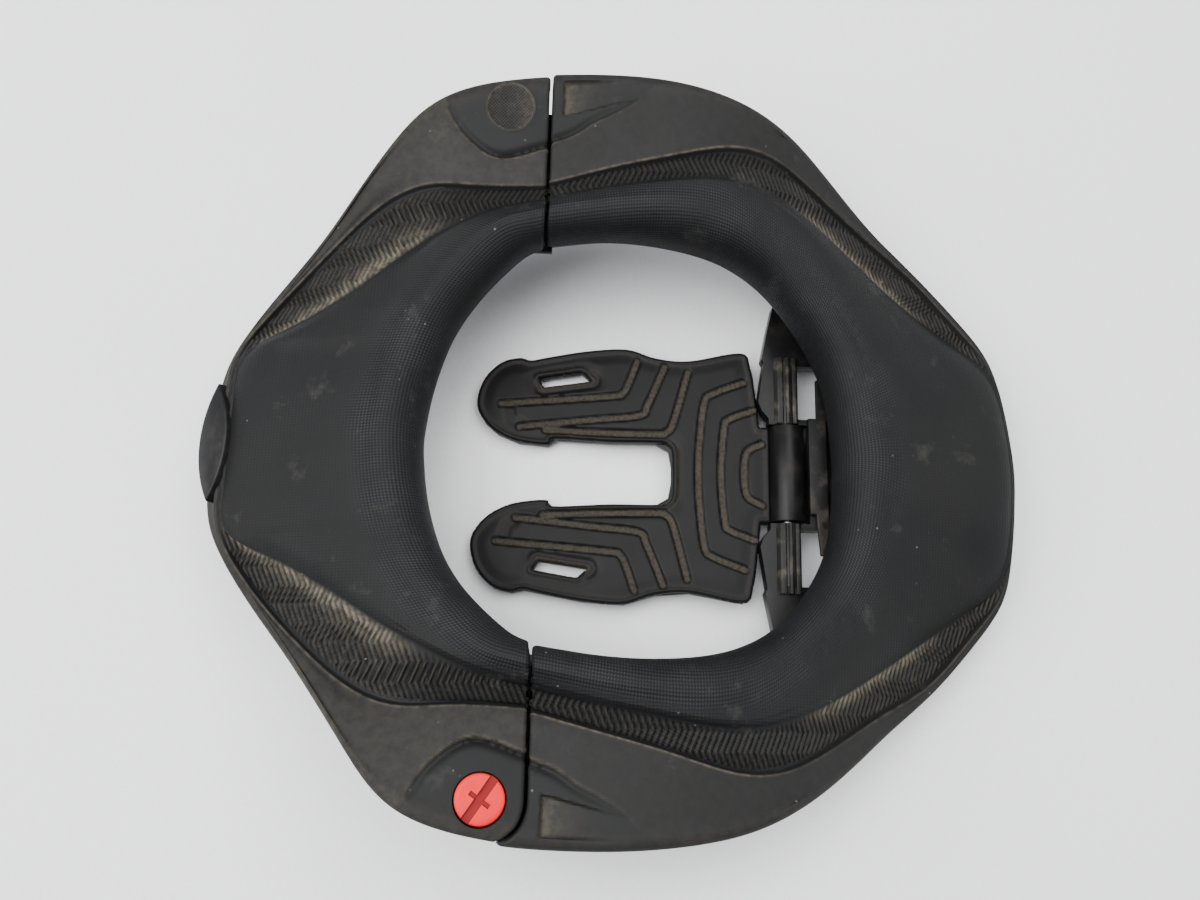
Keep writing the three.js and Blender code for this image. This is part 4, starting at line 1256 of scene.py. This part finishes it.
def makeArm(name, side, outline, low, high, bore, rounding):
    # a flat piece at a gap end of the rear half; the one on the pin's side has a bore
    piece = prismPiece(name, outline, low, high)
    if side > 0:
        cutBore(piece, bore)
    rounded(piece, rounding)
    declare(piece, None, "rear_half", blackPlastic)


frontInset, rearInset = chassis["frontInset"], chassis["rearInset"]
makeChassis("front_chassis_shell", "front_chassis", frontRows, -1, (frontInset, frontInset), "front_half")
makeChassis("rear_chassis_shell", "rear_chassis", rearRows, 1, (rearInset, frontInset), "rear_half")
for side, name in ((-1, "tongue_right"), (1, "tongue_left")):
    makeArm(name, side, tongueOutline(side, 0), *chassis["tongue"], pinShape["boreRadius"], 0.5)
# closes the gap from below, so that it reads dark
shelf = {"inner": 90.5, "outer": 158, "front": -5, "back": 3, "low": 60.2, "high": 63.4, "bore": 14.2}
shelfCorners = (("inner", "front"), ("outer", "front"), ("outer", "back"), ("inner", "back"))
for side, name in ((-1, "gap_shelf_right"), (1, "gap_shelf_left")):
    corners = [(side * shelf[x], shelf[y]) for x, y in shelfCorners]
    makeArm(name, side, corners, shelf["low"], shelf["high"], shelf["bore"], 0.4)
print("stage: chassis made")


# Floor, light and camera
def makeFloor():
    bm = bmesh.new()
    bmesh.ops.create_grid(bm, x_segments=2, y_segments=2, size=3.0)
    floor = newPiece("floor", bm)
    g = Graph("pale floor")
    place = g.place()
    cloud, fibre = g.noise(place, 3, 3), g.noise(place, 420, 4, 0.7)
    shade = g.mix(g.range(cloud, 0.35, 0.65), colour(0.86, 0.865, 0.88), colour(0.90, 0.905, 0.915))
    base = g.mix(g.range(fibre, 0.35, 0.7, 0, 0.35), shade, colour(0.78, 0.785, 0.80))
    setMaterial(floor, g.finish(base, g.range(fibre, 0.3, 0.7, 0.85, 0.95), g.bump(fibre, 0.0004, 0.35)))


def areaLight(name, place, target, size, power):
    data = bpy.data.lights.new(name, "AREA")
    data.shape = "RECTANGLE"
    data.size, data.size_y = size
    data.energy = power
    lamp = bpy.data.objects.new(name, data)
    lamp.location = place
    lamp.rotation_euler = (Vector(target) - Vector(place)).to_track_quat("-Z", "Y").to_euler()
    bpy.context.scene.collection.objects.link(lamp)


makeFloor()
areaLight("key", (-0.45, 0.3, 1.25), (0, 0, 0.05), (1.0, 1.0), 18)
areaLight("fill", (0.1, -1.0, 1.1), (0, -0.1, 0.05), (1.3, 1.2), 27)
areaLight("back", (0.0, 1.25, 0.5), (0, -0.1, 0.05), (1.3, 0.5), 7)
areaLight("top", (0.1, -0.45, 1.45), (0, 0, 0.05), (0.8, 0.8), 18)
world = bpy.data.worlds.new("soft room")
world.use_nodes = True
sky = world.node_tree.nodes["Background"]
sky.inputs["Color"].default_value = colour(0.93, 0.95, 1.0)
sky.inputs["Strength"].default_value = 0.38
bpy.context.scene.world = world

photoView = {
    "place": (0.12265, -middleY * 0.001, 0.52679),
    "lens": 33.0,
    "sensor": 36.0,
    "right": (-0.0211, 0.99777, 0.06331),
    "up": (-0.96765, -0.0363, 0.24967),
    "back": (0.25141, -0.05599, 0.96626),
}
camera = bpy.data.objects.new("camera", bpy.data.cameras.new("camera"))
camera.data.lens = photoView["lens"]
camera.data.sensor_width = photoView["sensor"]
camera.data.clip_start = 0.01
turn = Matrix((photoView["right"], photoView["up"], photoView["back"])).transposed()
camera.matrix_world = Matrix.Translation(Vector(photoView["place"])) @ turn.to_4x4()
bpy.context.scene.collection.objects.link(camera)
bpy.context.scene.camera = camera
